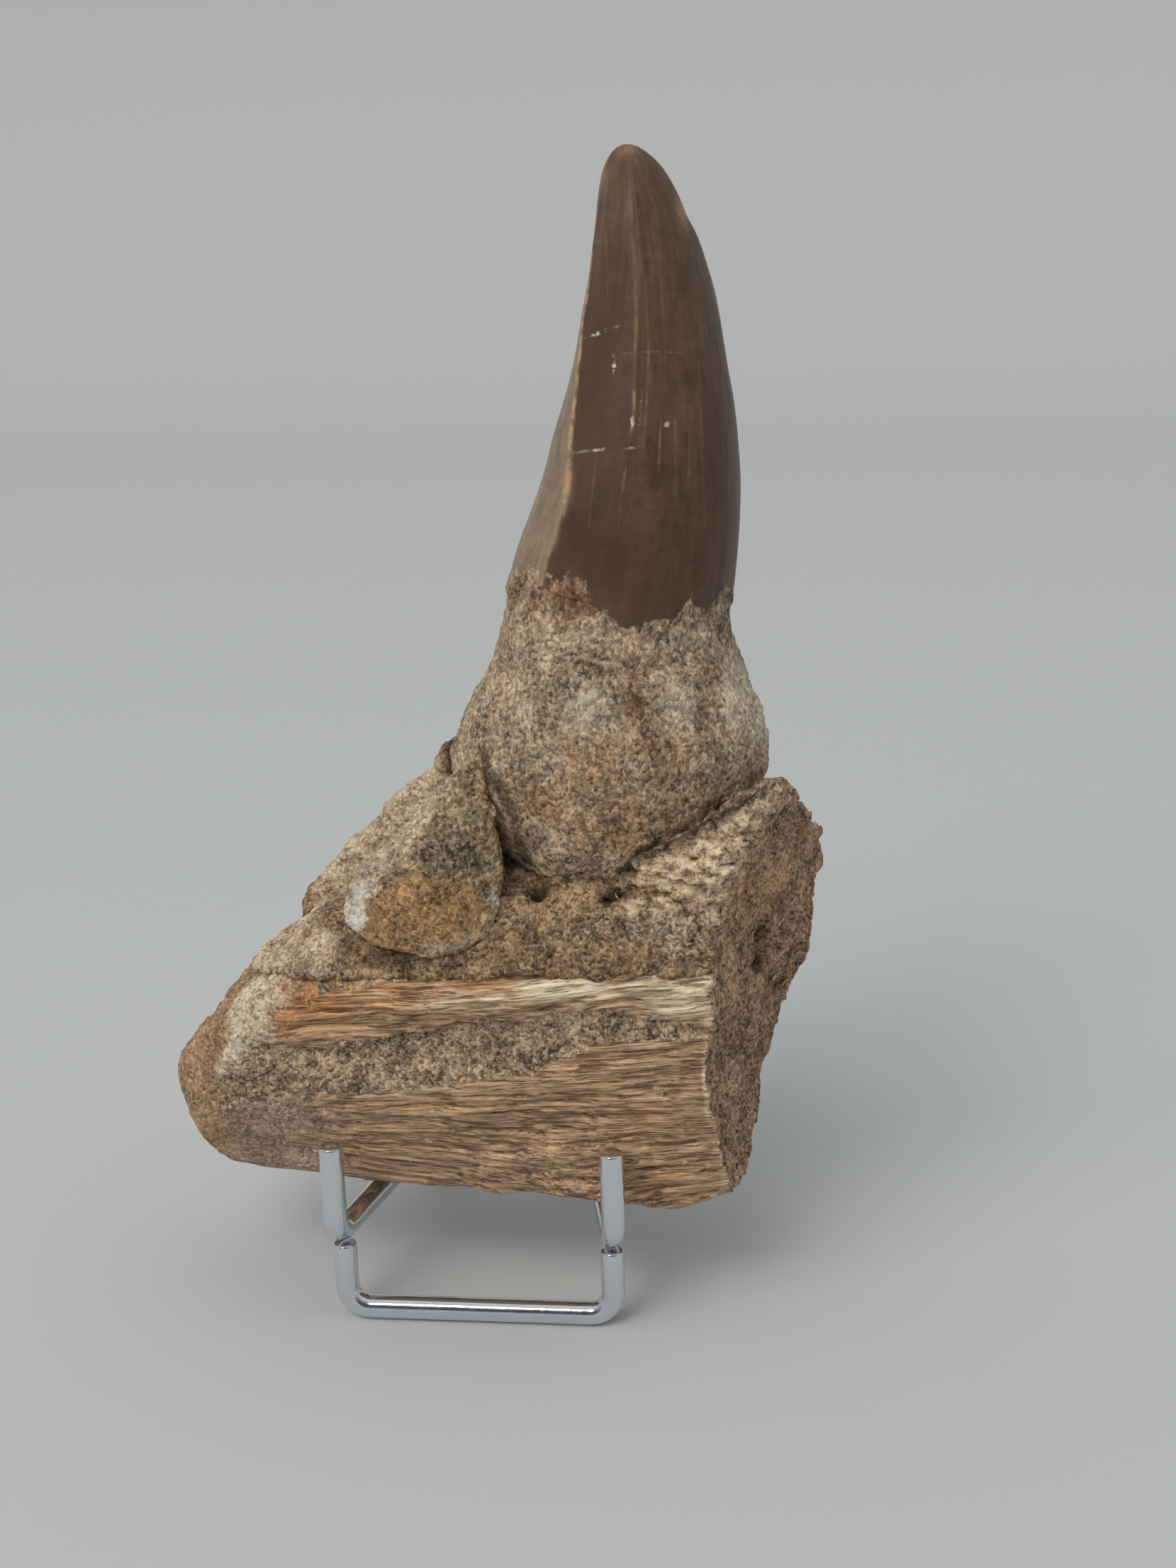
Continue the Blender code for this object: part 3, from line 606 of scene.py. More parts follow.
def tooth_skin(places, normals):
    """Fine flutes, chips and the cutting edge on the enamel, and grains and a step on the root."""
    x, y, z = places.T
    middle_x, middle_y, reach_x, reach_y = read_off(level_boxes("tooth", LEVELS), z)
    around = np.arctan2((y - middle_y) / reach_y, (x - middle_x) / reach_x)
    width = (reach_x + reach_y) / 2
    down = np.clip((CROWN[0] - z) / (CROWN[0] - CROWN[1]), 0.0, 1.0)
    edge_angle = -math.pi + EDGE_TURN * smooth_step(*EDGE_TURNS, down)
    past = (edge_angle - around + math.pi) % (2 * math.pi) - math.pi    # above 0 is behind the edge
    front = (around < 0) & (around > -3.1)

    end, = read_off(ENAMEL_EDGE, np.degrees(around))
    enamel = 0.5 + np.clip((z - end - ENAMEL_WAVE * swell(places, 2.2)) / ENAMEL_FADE, -0.5, 0.5)
    # the facet behind the cutting edge: a colour partly its own and partly painted light from the left
    facet = smooth_step(-0.15, 0.25, past * width) * (1 - smooth_step(1.6, 2.1, past))
    streak_side, streak_strength = thin_lines(places, STREAKS)
    crack_side, crack_strength = thin_lines(places, CRACKS)
    reach = 0.55 * width + 5.0
    grain = np.stack((reach * np.cos(around), reach * np.sin(around), z), axis=1)
    marks = {
        "enamel": enamel,
        "facet": facet * smooth_step(*FACET_FOOT, z),
        "rim": past * width / RIM, "rim_strength": between(z, *RIM_SPAN),
        "streak": streak_side, "streak_strength": streak_strength * front,
        "crack": crack_side, "crack_strength": crack_strength * front,
        "speck": near_spots(places, SPECKS) * front,
        "stain": near_spots(places, DARK_STAIN),
        "worn": near_spots(places, WORN),
        "red": near_spots(places, ROOT_RED),
        "brown": np.maximum(near_spots(places, ROOT_BROWN), 0.5 * np.exp(-((enamel - 0.2) / 0.25) ** 2)),
        "chalk": near_spots(places, ROOT_CHALK),
        # painted shade down the grooves against the crest and the fragment
        "dark": np.maximum(in_groove(places, CREST_GROOVE, 1.3), in_groove(places, FRAGMENT_GROOVE, 1.1)),
        "crown_grain": grain,
    }
    flutes = 0.09 * swell(grain, (1.7, 1.7, 40.0), 2) + 0.04 * swell(grain, (0.6, 0.6, 14.0), 2)
    edge = 0.14 * np.exp(-(past * width / 0.7) ** 2) * between(z, *EDGE_SPAN)
    height, above, depth = SLIM
    hollow = depth * np.exp(-((z - height) / above) ** 2) * np.clip(-normals[:, 0], 0, 1)
    crown = flutes + edge - hollow - 0.06 * crack_strength * np.exp(-(crack_side / 2) ** 2) * front
    for spot in CHIPS:
        crown = crown - near_spots(places, (spot,))
    line, = read_off(STEP_LINE, x)
    step = STEP * front * between(x, *STEP_SPAN) * between(z - line, *STEP_SIDE)
    lumps = 0.45 * swell(places, 5.0) + 0.20 * swell(places, (1.6, 1.6, 2.2), 2)
    grains = 0.20 * swell(places, (0.75, 0.75, 1.0), 1)
    root = lumps + grains + pits(places, (0.9, 0.9, 1.3), 0.35, (0.28, 0.55)) + step - 0.2
    hard = smooth_step(0.3, 0.7, enamel)
    return hard * crown + (1 - hard) * root, marks


def line_mask(tree, mark, wobble, least, place):
    """A thin line from a stored side and strength of it, fading to least here and there."""
    side = add_node(tree, "Attribute", attribute_name=mark).outputs["Fac"]
    strength = add_node(tree, "Attribute", attribute_name=mark + "_strength").outputs["Fac"]
    away = add_node(tree, "Math", {0: side}, operation="ABSOLUTE").outputs[0]
    core = add_node(tree, "MapRange", {
        "Value": away, "From Min": 0.3, "From Max": 1.6, "To Min": 1.0, "To Max": 0.0}).outputs["Result"]
    gaps = add_node(tree, "TexNoise", {"Vector": place, "Scale": 1 / wobble, "Detail": 2.0})
    broken = add_node(tree, "MapRange", {
        "Value": gaps.outputs["Fac"], "From Min": 0.42, "From Max": 0.58, "To Min": least}).outputs["Result"]
    line = add_node(tree, "Math", {0: core, 1: strength}, operation="MULTIPLY").outputs[0]
    return add_node(tree, "Math", {0: line, 1: broken}, operation="MULTIPLY").outputs[0]


def tooth_material(settings, sand):
    """Fossil enamel: hard, waxy brown apatite with a satin gloss. The root below it is porous and matt."""
    made, tree, place = new_material("satin fossil enamel and sandy root")
    grain = stored_grain(tree, "crown_grain")
    tone = weighted(tree, (
        (stretched_noise(tree, grain, (1.1 * MM, 1.1 * MM, 26 * MM)), 0.20),
        (stretched_noise(tree, grain, (0.4 * MM, 0.4 * MM, 7 * MM)), 0.24),
        (stretched_noise(tree, grain, (6 * MM, 6 * MM, 0.9 * MM)), 0.20),
        (stretched_noise(tree, grain, (4 * MM, 4 * MM, 10 * MM)), 0.55),
        (stretched_noise(tree, grain, (1.3 * MM, 1.3 * MM, 2 * MM), 5.0), 0.35)), -0.27)
    brown = colour_steps(tree, tone, (0.38, 0.47, 0.54, 0.64), tones(settings.enamel, 0.70, 0.92, 1.10, 1.45))
    soft = add_node(tree, "MapRange", {
        "Value": tone, "From Min": 0.40, "From Max": 0.58, "To Min": 0.55, "To Max": 1.0}).outputs["Result"]
    stains = []
    # the facet's colour is partly painted light from the left
    for mark, over in (("stain", settings.stain), ("facet", settings.facet), ("worn", linear("#C79C74"))):
        strength = add_node(tree, "Attribute", attribute_name=mark).outputs["Fac"]
        amount = add_node(tree, "Math", {0: strength, 1: soft}, operation="MULTIPLY", use_clamp=True)
        stains.append((amount.outputs[0], over))
    lines = (               # mark, colour, length of its gaps, least strength in them
        ("streak", settings.streak, 2.2 * MM, 0.2),
        ("rim", linear("#B59778"), 1.2 * MM, 0.3),
        ("crack", linear("#D8CCB8"), 0.6 * MM, 0.0),
    )
    for mark, over, wobble, least in lines:
        stains.append((line_mask(tree, mark, wobble, least, place), over))
    crumbs = stretched_noise(tree, place, (1.1 * MM,) * 3, 5.0)
    stains.append((ragged_mask(tree, crumbs, "speck", 0.3, 0.15), linear("#CFC4B2")))
    enamel = (stained(tree, brown, stains), tone)
    tall = add_node(tree, "VectorMath", {0: place, 1: (1.0, 1.0, 0.85)}, operation="MULTIPLY")
    grains = sand_pattern(tree, tall.outputs["Vector"], sand.grain)   # a little taller than wide
    lumps = stretched_noise(tree, place, (3.0 * MM,) * 3, 5.0)
    root = sand_over(tree, grains, lumps, sand_layer(tree, grains, settings.root, 0.95), (
        ("brown", linear("#A18062"), 1.0, 0.35, 0.4),
        ("chalk", linear("#CBBDA6"), 0.7, 0.35, 0.35),
        ("red", linear("#8E6D55"), 1.0, 0.45, 0.45)))
    where = ragged_mask(tree, crumbs, "enamel", 0.35, 0.1)
    # the root takes painted shade down those grooves before the enamel is laid over
    colour, height = lay_over(tree, where, darkened(tree, crumbs, root), enamel)
    depth = add_node(tree, "MapRange", {"Value": where, "To Min": 0.38 * MM, "To Max": 0.05 * MM})
    gloss = add_node(tree, "MapRange", {"Value": where, "To Min": 0.92, "To Max": 0.42})
    finish_dusty(tree, colour, height, depth.outputs["Result"], gloss.outputs["Result"])
    return made


class FOSSIL_OT_tooth(bpy.types.Operator):
    """Carve the tooth: a fluted enamel crown on a sandy root"""
    bl_idname = "fossil.tooth"
    bl_label = "Tooth"

    def execute(self, context):
        settings, sand = context.scene.fossil_tooth, context.scene.fossil_sand
        obj = merged_copy("tooth", math.pi)
        bm = bmesh.new()
        bm.from_mesh(obj.data)
        bmesh.ops.join_triangles(bm, faces=bm.faces, angle_face_threshold=math.radians(40),
                                 angle_shape_threshold=math.radians(60))
        bm.to_mesh(obj.data)
        bm.free()
        finer = obj.modifiers.new("finer", "SUBSURF")
        finer.levels = finer.render_levels = settings.refinement
        mesh = evaluated_mesh(obj)
        carve(mesh, tooth_skin)
        new_piece("tooth_crown_and_root", mesh, tooth_material(settings, sand), "tooth")
        return {"FINISHED"}


# --- jaw bone ------------------------------------------------------------------------------
PLATE_TOP = (             # station, height of the lower plate's ragged upper edge
    (-33.0, 27.5), (-24.2, 29.3), (-14.8, 30.5), (-5.8, 31.2), (3.3, 33.0), (8.2, 33.7), (10.0, 35.4),
    (12.2, 37.0), (17.5, 38.3), (28.3, 39.4), (31.0, 39.6),
)
BAND_BOTTOM = (           # station, height of the upper band of fibres' lower edge
    (-26.0, 36.6), (-23.5, 36.9), (-14.5, 37.8), (-5.5, 38.8), (3.6, 40.9), (12.4, 42.0), (19.0, 42.0),
    (24.0, 41.2), (27.0, 40.6), (31.0, 40.3),
)
BAND_TOP = (              # station, height of the band's upper edge
    (-26.0, 43.8), (-20.2, 44.6), (-13.9, 44.9), (-5.0, 46.6), (3.8, 47.2), (12.5, 47.4), (21.1, 47.8),
    (28.0, 48.5), (31.0, 48.7),
)
LEFT_SAND = ((34.0, -30.3), (38.0, -27.3), (42.0, -24.6), (46.0, -21.8), (49.0, -19.5))   # height, right edge
NOSE_LINE = ((14.0, -33.0), (22.6, -33.3), (32.2, -32.6), (41.4, -30.2), (46.0, -27.0))   # height, right edge
FRONT = (5.5, 2.2)        # depths between which the jaw's front face begins
REAR = (8.0, 13.0)        # and its sandy back
END = (26.0, 29.0)        # stations between which the broken end may begin
HUSK = (-13.0, -27.0)     # stations between which the fibres go dull, towards the nose
HUSK_TOP = (33.5, 30.0)   # heights between which that dull husk begins to show
LEFT_FOOT = (28.0, 36.0)  # heights between which the sand on the left begins
LEFT_FADE = (4.5, -3.5)   # where it starts and is full, from its right edge
ORANGE = (
    ((-18.5, 0.5, 42.8), (5.0, 4.0, 2.8), 1.0), ((-10.0, 0.5, 44.0), (6.5, 4.0, 2.4), 0.75),
    ((0.0, 0.5, 46.2), (6.0, 4.0, 1.3), 0.70), ((-4.0, 0.3, 41.6), (6.0, 4.0, 1.0), 0.55),
    ((-23.5, 1.0, 41.0), (4.0, 5.0, 3.5), 0.85), ((-38.0, 8.0, 25.0), (3.0, 6.0, 6.0), 0.5),
    ((19.0, 0.5, 47.4), (5.0, 4.0, 0.8), 0.4), ((15.0, 0.5, 35.5), (6.0, 4.0, 1.6), 0.3),
    ((20.0, 0.5, 27.0), (7.0, 4.0, 3.0), 0.3), ((-34.0, 5.0, 18.0), (5.0, 6.0, 3.5), 0.75),
    ((8.0, 0.5, 24.0), (9.0, 4.0, 2.0), 0.25), ((36.0, 6.0, 63.0), (2.0, 6.0, 6.0), 0.4),
    ((41.5, 18.0, 52.0), (2.5, 8.0, 5.0), 0.7), ((-10.0, 33.0, 35.0), (18.0, 6.0, 6.0), 0.5),
    ((20.0, 33.0, 25.0), (12.0, 6.0, 5.0), 0.4), ((22.0, 3.0, 18.0), (9.0, 6.0, 2.0), 0.35),
)
CREAM = (
    ((11.5, 0.3, 45.5), (5.5, 4.0, 1.5), 1.3), ((16.5, 0.3, 44.4), (6.0, 4.0, 0.9), 0.7),
    ((25.0, 0.5, 45.8), (5.0, 4.0, 2.4), 1.5), ((26.5, 0.5, 42.6), (5.0, 4.0, 1.8), 1.0),
    ((2.0, 0.3, 43.8), (5.0, 4.0, 0.7), 0.45), ((28.8, 0.8, 46.0), (1.0, 4.0, 3.5), 0.9),
    ((29.6, 0.8, 42.0), (1.2, 4.0, 2.5), 0.8), ((22.5, 0.5, 38.6), (6.5, 4.0, 0.7), 0.60),
    ((29.4, 0.8, 34.0), (0.7, 4.0, 6.0), 0.9), ((31.2, 0.8, 24.0), (0.7, 4.0, 7.0), 0.8),
    ((10.5, 0.5, 35.4), (1.6, 4.0, 0.8), 0.5), ((-11.0, 0.5, 30.6), (6.0, 4.0, 0.6), 0.55),
    ((-2.0, 0.5, 31.6), (5.0, 4.0, 0.5), 0.5), ((-3.0, 0.5, 26.0), (7.0, 4.0, 0.6), 0.42),
    ((6.0, 0.5, 21.5), (6.0, 4.0, 0.6), 0.5), ((14.0, 0.5, 24.5), (5.0, 4.0, 0.5), 0.45),
    ((5.0, 33.0, 44.0), (14.0, 5.0, 3.0), 0.6), ((28.0, 2.0, 18.5), (3.0, 5.0, 2.0), 0.4),
    ((2.0, 0.5, 43.5), (22.0, 4.0, 2.8), 0.47),
)
SPONGE = (                # crumbling cream bone along the crest of the wall
    ((20.5, 3.8, 58.0), (3.8, 5.0, 2.6), 1.35), ((25.0, 2.6, 59.6), (4.2, 5.0, 3.0), 1.35),
    ((29.5, 2.4, 61.4), (4.0, 5.0, 3.0), 1.0), ((34.0, 3.0, 64.6), (3.5, 6.0, 2.8), 0.7),
    ((37.5, 8.0, 66.0), (2.5, 8.0, 3.0), 0.5), ((30.5, 2.0, 56.5), (2.5, 4.0, 2.5), 0.65),
    ((30.0, 1.0, 46.0), (1.6, 4.0, 3.5), 0.5), ((38.0, 20.0, 68.5), (5.0, 9.0, 2.5), 0.8),
)
DUSTY = (                 # pale grey sandstone with white grains, below the crest
    ((26.3, 1.4, 51.8), (5.0, 5.0, 3.0), 0.8), ((21.0, 2.5, 53.5), (4.0, 5.0, 2.4), 0.6),
    ((31.0, 2.0, 53.5), (3.0, 5.0, 2.5), 0.5),
)
RUSTY_SAND = (            # sand stained by iron, where the orange fibres run out on the left
    ((-20.6, 1.5, 43.8), (3.6, 5.0, 3.2), 0.70), ((-23.6, 2.0, 40.8), (3.2, 5.0, 2.6), 0.60),
    ((-16.0, 1.0, 46.2), (5.0, 4.0, 1.2), 0.60),
)
WALL_BROWN = (
    ((33.5, 5.0, 55.0), (2.6, 8.0, 6.0), 0.8), ((33.0, 9.0, 62.0), (4.0, 9.0, 5.0), 0.6),
    ((38.0, 14.0, 52.0), (3.5, 8.0, 7.0), 0.8), ((40.0, 18.0, 58.0), (2.6, 9.0, 4.0), 0.5),
)
PITS = (                  # middle, radius and depth of the deep pits in the broken end
    ((36.0, 17.6, 45.8), 1.3, 1.9), ((35.4, 17.0, 42.9), 1.1, 1.7), ((36.4, 16.2, 47.8), 0.8, 1.2),
    ((39.0, 25.0, 41.4), 0.9, 1.4), ((38.6, 26.0, 39.0), 0.8, 1.3), ((38.2, 27.6, 35.1), 1.1, 1.5),
    ((33.2, 8.0, 47.2), 0.6, 0.7), ((34.6, 12.0, 54.6), 0.7, 0.8), ((31.4, 1.4, 55.0), 0.7, 0.8),
    ((36.9, 22.5, 33.0), 0.8, 0.9), ((27.9, 0.8, 40.8), 0.6, 0.9), ((24.0, 0.6, 41.2), 0.5, 0.8),
    ((20.5, 0.6, 41.3), 0.5, 0.8), ((22.8, 3.0, 17.3), 0.7, 0.5), ((23.2, 3.2, 57.2), 0.5, 0.7),
    ((19.0, 4.6, 59.6), 0.6, 0.8), ((27.6, 3.0, 58.2), 0.5, 0.6),
)


def bone_grain(places):
    """Each place as the fibres lie: along them, and twice across them."""
    x, y, z = places.T
    sag = 0.8 * swell(places, (30.0, 26.0, 12.0), 2)
    low = smooth_step(30.0, 18.0, z)
    rise = 0.055 - 0.13 * low + 0.05 * smooth_step(40.0, 45.0, z) + 0.22 * low * smooth_step(0.0, 24.0, x)
    return np.stack((x, y + 0.5 * sag, z - rise * x + sag), axis=1)


def jaw_skin(places, normals):
    """Laths and slits along the grain, grains where there is sand, and the rough, pitted end."""
    x, y, z = places.T
    front = smooth_step(*FRONT, y)
    end = smooth_step(0.45, 0.8, normals[:, 0] + 0.25 * swell(places, 1.5, 2)) * smooth_step(*END, x)
    grain = bone_grain(places)
    crooked = 0.9 * swell(places, (4.0, 4.0, 1.2)) + 0.45 * swell(places, (1.1, 1.1, 0.7), 2)
    plate_top, = read_off(PLATE_TOP, x)
    band_bottom, = read_off(BAND_BOTTOM, x)
    band_top, = read_off(BAND_TOP, x)
    hollow = smooth_step(-0.25, 0.35, np.minimum(z - plate_top, band_bottom - z) + crooked)
    over = smooth_step(-0.25, 0.35, z - band_top + crooked)
    wander = 2.6 * swell(places, 4.0) + 0.9 * swell(places, 1.3, 2)
    left_edge, = read_off(LEFT_SAND, z)
    left = smooth_step(*LEFT_FADE, x + wander - left_edge) * smooth_step(*LEFT_FOOT, z + wander)
    husk = smooth_step(*HUSK, x + 1.6 * wander)
    rear = (1 - end) * smooth_step(*REAR, y) * smooth_step(-0.12, 0.25, swell(places, 11.0))
    sandy = np.maximum.reduce([hollow * front, over, left, rear])
    nose_edge, = read_off(NOSE_LINE, z)
    nose = smooth_step(1.0, -1.0, x + 0.5 * wander - nose_edge)
    sponge = near_spots(places, SPONGE)
    cream = near_spots(places, CREAM)

    laths = 0.40 * swell(grain, (15.0, 2.4, 1.5)) + 0.26 * swell(grain, (7.0, 1.2, 0.75), 2)
    slits = -0.55 * smooth_step(0.22, 0.45, swell(grain + SLIT_SHIFT, (12.0, 1.6, 0.8), 2))
    lumps = 0.45 * swell(places, 4.0) + 0.32 * swell(places, 1.2, 2)
    pitted = pits(places, 1.1, 0.40)
    rough = 0.85 * swell(places, 4.5, 4) + 0.35 * swell(places, (1.2, 1.2, 1.8), 2)
    holes = smooth_step(0.15, 0.35, swell(places + HOLE_SHIFT, (2.6, 1.6, 0.9), 2))
    crumble = 1.2 * swell(places, (3.2, 2.4, 1.5)) - 0.9 * holes
    fibrous = (1 - 0.7 * husk) * (laths + slits) + 0.35 * smooth_step(0.5, 0.9, cream) * front
    grainy = lumps + pitted - 0.35 * front * hollow
    move = (1 - sandy) * fibrous + sandy * grainy
    move = (1 - end) * move + end * (rough + pitted - 0.2)
    crumbly = smooth_step(0.3, 0.6, sponge)
    move = (1 - crumbly) * move + crumbly * (crumble + 0.4)
    # painted shade: darker in the crest's holes, down its groove and in the deep pits
    dark = np.maximum(0.25 * crumbly * holes, 0.85 * in_groove(places, CREST_GROOVE, 0.9))
    for middle, radius, depth in PITS:
        away = np.linalg.norm(places - middle, axis=1) / radius
        move = move - depth * np.exp(-away * away)
        dark = np.maximum(dark, np.exp(-(away * 1.05) ** 2))
    marks = {
        "sandy": sandy, "husk": husk * smooth_step(*HUSK_TOP, z + wander), "left": left,
        "nose": nose, "end": end, "sponge": sponge, "dark": dark,
        "dusty": near_spots(places, DUSTY), "brown": near_spots(places, WALL_BROWN),
        "rusty": near_spots(places, RUSTY_SAND),
        "orange": near_spots(places, ORANGE), "cream": cream, "bone_grain": grain,
    }
    return move, marks


def bone_material(settings, sand):
    """Fossil jaw bone: split fibres stained by iron, dull and dry, with sand left in the hollows."""
    made, tree, place = new_material("fibrous fossil bone")
    grain = stored_grain(tree, "bone_grain")
    tan, orange, cream = fibre_layers(tree, grain, settings.fibre,
                                      (settings.tan, settings.orange, settings.cream))
    along = stretched_noise(tree, grain, (5.0 * MM, 1.1 * MM, 1.1 * MM), 5.0)   # stains follow the fibres
    lumps = stretched_noise(tree, place, (2.0 * MM,) * 3, 5.0)
    bone = lay_over(tree, ragged_mask(tree, along, "orange", 0.45, 0.45), tan, orange)
    bone = lay_over(tree, ragged_mask(tree, along, "cream", 0.35, 0.3), bone, cream)
    bone = sand_over(tree, sand_pattern(tree, place, sand.grain), lumps, bone, (
        ("husk", linear("#B49A85"), 0.8, 0.35, 0.3),
        ("sandy", linear("#AC967E"), 1.15, 0.2, 0.3),
        ("left", linear("#EBD3B6"), 0.85, 0.5, 0.3),
        ("rusty", linear("#C48F62"), 1.0, 0.5, 0.3),
        ("nose", linear("#B49474"), 0.8, 0.35, 0.3),
        ("end", linear("#B09277"), 1.15, 0.2, 0.3),
        ("dusty", linear("#B8A58C"), 1.3, 0.4, 0.3),
        ("brown", linear("#CCA27C"), 1.0, 0.3, 0.3)))
    crest = ragged_mask(tree, lumps, "sponge", 0.6, 0.3)
    colour, height = lay_over(tree, crest, bone, sponge_layer(tree, place))
    # near-black painted shade in those holes, the groove and the pits
    finish_dusty(tree, painted_hole_shade(tree, "dark", colour), height, 0.5 * MM, 0.9)
    return made


class FOSSIL_OT_jaw(bpy.types.Operator):
    """Carve the piece of jaw bone: fibres, the sandy hollow and the broken end"""
    bl_idname = "fossil.jaw"
    bl_label = "Jaw bone"

    def execute(self, context):
        settings, sand = context.scene.fossil_bone, context.scene.fossil_sand
        material = bone_material(settings, sand)
        carved_piece("jaw_bone_piece", "jaw_bone", settings.voxel, 4, jaw_skin, material)
        return {"FINISHED"}


# --- sandstone and the root fragment -------------------------------------------------------
BANK_PALE = (
    ((-16.0, 20.0, 56.0), (10.0, 9.0, 7.0), 1.0), ((-8.0, 18.0, 64.0), (8.0, 9.0, 7.0), 0.9),
    ((-25.0, 8.0, 45.5), (6.0, 9.0, 4.0), 1.0), ((-19.0, 4.0, 48.5), (4.0, 5.0, 3.0), 0.9),
    ((-22.0, 12.0, 50.0), (5.0, 8.0, 3.0), 0.8),
)
SAND_GREY = (
    ((25.5, 1.5, 52.5), (4.5, 5.0, 3.5), 0.8), ((20.5, 2.0, 53.5), (4.0, 5.0, 2.5), 0.6),
    ((5.0, 8.0, 58.0), (3.0, 8.0, 4.0), 0.6), ((13.0, 1.0, 53.0), (5.0, 5.0, 2.0), 0.35),
)
SHADED = (                # painted shade on the sand under the fragment and in the two grooves
    ((-9.5, 2.0, 48.6), (6.5, 4.0, 2.0), 0.75), ((-15.0, 3.0, 50.0), (3.0, 4.0, 2.6), 0.6),
    ((3.6, 6.0, 66.0), (1.8, 6.0, 6.5), 0.95), ((5.6, 5.0, 59.0), (2.4, 6.0, 3.2), 0.85),
    ((9.4, 3.7, 56.6), (1.3, 3.0, 1.1), 1.0), ((19.4, 3.3, 57.2), (1.6, 3.0, 1.6), 1.0),
)
JOIN = 0.9                # distance over which sand closes on bone, and has painted shade beside it
GROOVES = ((FRAGMENT_GROOVE, 1.1, 0.9), (CREST_GROOVE, 0.9, 0.8))     # line, reach and depth
HOLES = (                 # short lines, reach and depth, where the two grooves end; they are also painted near black as shade
    (((6.6, 6.6, 57.8), (7.8, 5.0, 57.0), (9.0, 3.3, 56.2)), 0.8, 1.0),
    (((19.0, 3.2, 57.6), (17.9, 2.2, 56.8), (17.4, 2.0, 56.4)), 0.8, 1.3),
)
CREST_FOOT = (            # cream flakes of the crest that are stuck in the sand
    ((20.6, 1.8, 55.4), (2.2, 3.0, 1.5), 0.95), ((23.5, 1.4, 55.6), (2.6, 3.0, 1.3), 0.75),
)


def sandstone_skin(places, normals):
    """Lumps, grains and pits, swollen where the sand closes on what sits in it."""
    gaps = [gap_to(node, places) for node in ("tooth", "root_fragment", "jaw_bone")]
    closed = np.exp(-(np.minimum.reduce(gaps) / JOIN) ** 2)
    lumps = 0.50 * swell(places, 6.0, 4) + 0.34 * swell(places, 1.2, 2)
    move = 0.15 + lumps + pits(places, 1.1, 0.40) + 0.75 * closed
    by_tooth, by_fragment = (np.exp(-(gap / JOIN) ** 2) for gap in gaps[:2])
    # painted shade beside the tooth and the fragment, in the shaded spots, and down the grooves and holes
    # that are carved in
    dark = np.maximum(0.8 * by_tooth + 0.45 * by_fragment, near_spots(places, SHADED))
    for line, reach, depth in (*GROOVES, *HOLES):
        inside = in_groove(places, line, reach)
        move = move - depth * inside
        dark = np.maximum(dark, 0.9 * inside)
    # the holes' mark, where near-black painted shade goes
    holes = [in_groove(places, line, reach) for line, reach, _ in HOLES]
    marks = {
        "pale": near_spots(places, BANK_PALE), "grey": near_spots(places, SAND_GREY), "dark": dark,
        "foot": near_spots(places, CREST_FOOT), "hole": np.maximum.reduce(holes),
    }
    return move, marks


def sandstone_material(sand):
    """Phosphatic sandstone: brown, soft and dusty, with pale quartz grains."""
    made, tree, place = new_material("coarse brown sandstone")
    lumps = stretched_noise(tree, place, (2.0 * MM,) * 3, 5.0)
    grains = sand_pattern(tree, place, sand.grain)
    layer = sand_over(tree, grains, lumps, sand_layer(tree, grains, sand.sand, 1.1), (
        ("pale", sand.pale, 0.8, 0.35, 0.35),
        ("grey", linear("#AE9D87"), 1.3, 0.4, 0.35)))
    foot = ragged_mask(tree, lumps, "foot", 0.4, 0.2)
    # painted shade over the sand and the crest's flakes where the mark dark is
    colour, height = darkened(tree, lumps, lay_over(tree, foot, layer, sponge_layer(tree, place)))
    # near-black painted shade deep in the holes
    finish_dusty(tree, painted_hole_shade(tree, "hole", colour), height, 0.5 * MM, 0.95)
    return made


class FOSSIL_OT_sandstone(bpy.types.Operator):
    """Carve the sandstone that holds the tooth in the jaw"""
    bl_idname = "fossil.sandstone"
    bl_label = "Sandstone"

    def execute(self, context):
        sand = context.scene.fossil_sand
        material = sandstone_material(sand)
        carved_piece("sandstone_matrix", "matrix", sand.voxel, 3, sandstone_skin, material)
        return {"FINISHED"}


FRAGMENT_BROWN = (        # the smooth, brown lower part of the fragment
    ((-4.5, 0.0, 55.3), (8.0, 6.0, 5.0), 1.2), ((-9.5, 0.5, 53.0), (5.0, 5.0, 4.0), 1.0),
    ((0.0, 0.5, 56.5), (3.5, 5.0, 4.0), 0.9), ((-9.0, 0.3, 50.6), (4.5, 4.0, 1.6), 1.1),
)
FRAGMENT_PALE = (
    ((-13.6, 0.9, 54.6), (1.7, 3.0, 2.1), 1.5), ((-12.4, 0.9, 57.4), (1.5, 3.0, 1.6), 0.95),
    ((3.8, 2.2, 56.4), (1.0, 2.0, 1.3), 0.7),
)
FRAGMENT_RIM = (          # a broad, pale beige strip up the left edge to the tip
    ((-11.4, 1.0, 59.2), (2.0, 5.0, 2.4), 1.2), ((-9.4, 1.0, 62.0), (2.0, 5.0, 2.6), 1.3),
    ((-7.0, 1.5, 65.0), (2.0, 5.0, 2.8), 1.3), ((-4.6, 2.0, 68.4), (2.0, 5.0, 2.8), 1.2),
    ((-2.0, 3.0, 71.0), (1.8, 5.0, 2.0), 1.0),
)
FRAGMENT_GREY = (
    ((-1.0, 0.5, 62.8), (3.4, 4.0, 3.6), 1.0), ((1.6, 1.5, 60.6), (2.4, 4.0, 3.4), 0.9),
    ((-4.0, 0.6, 62.4), (3.0, 4.0, 1.8), 0.8), ((1.6, 3.0, 67.0), (1.4, 4.0, 3.4), 0.8),
)
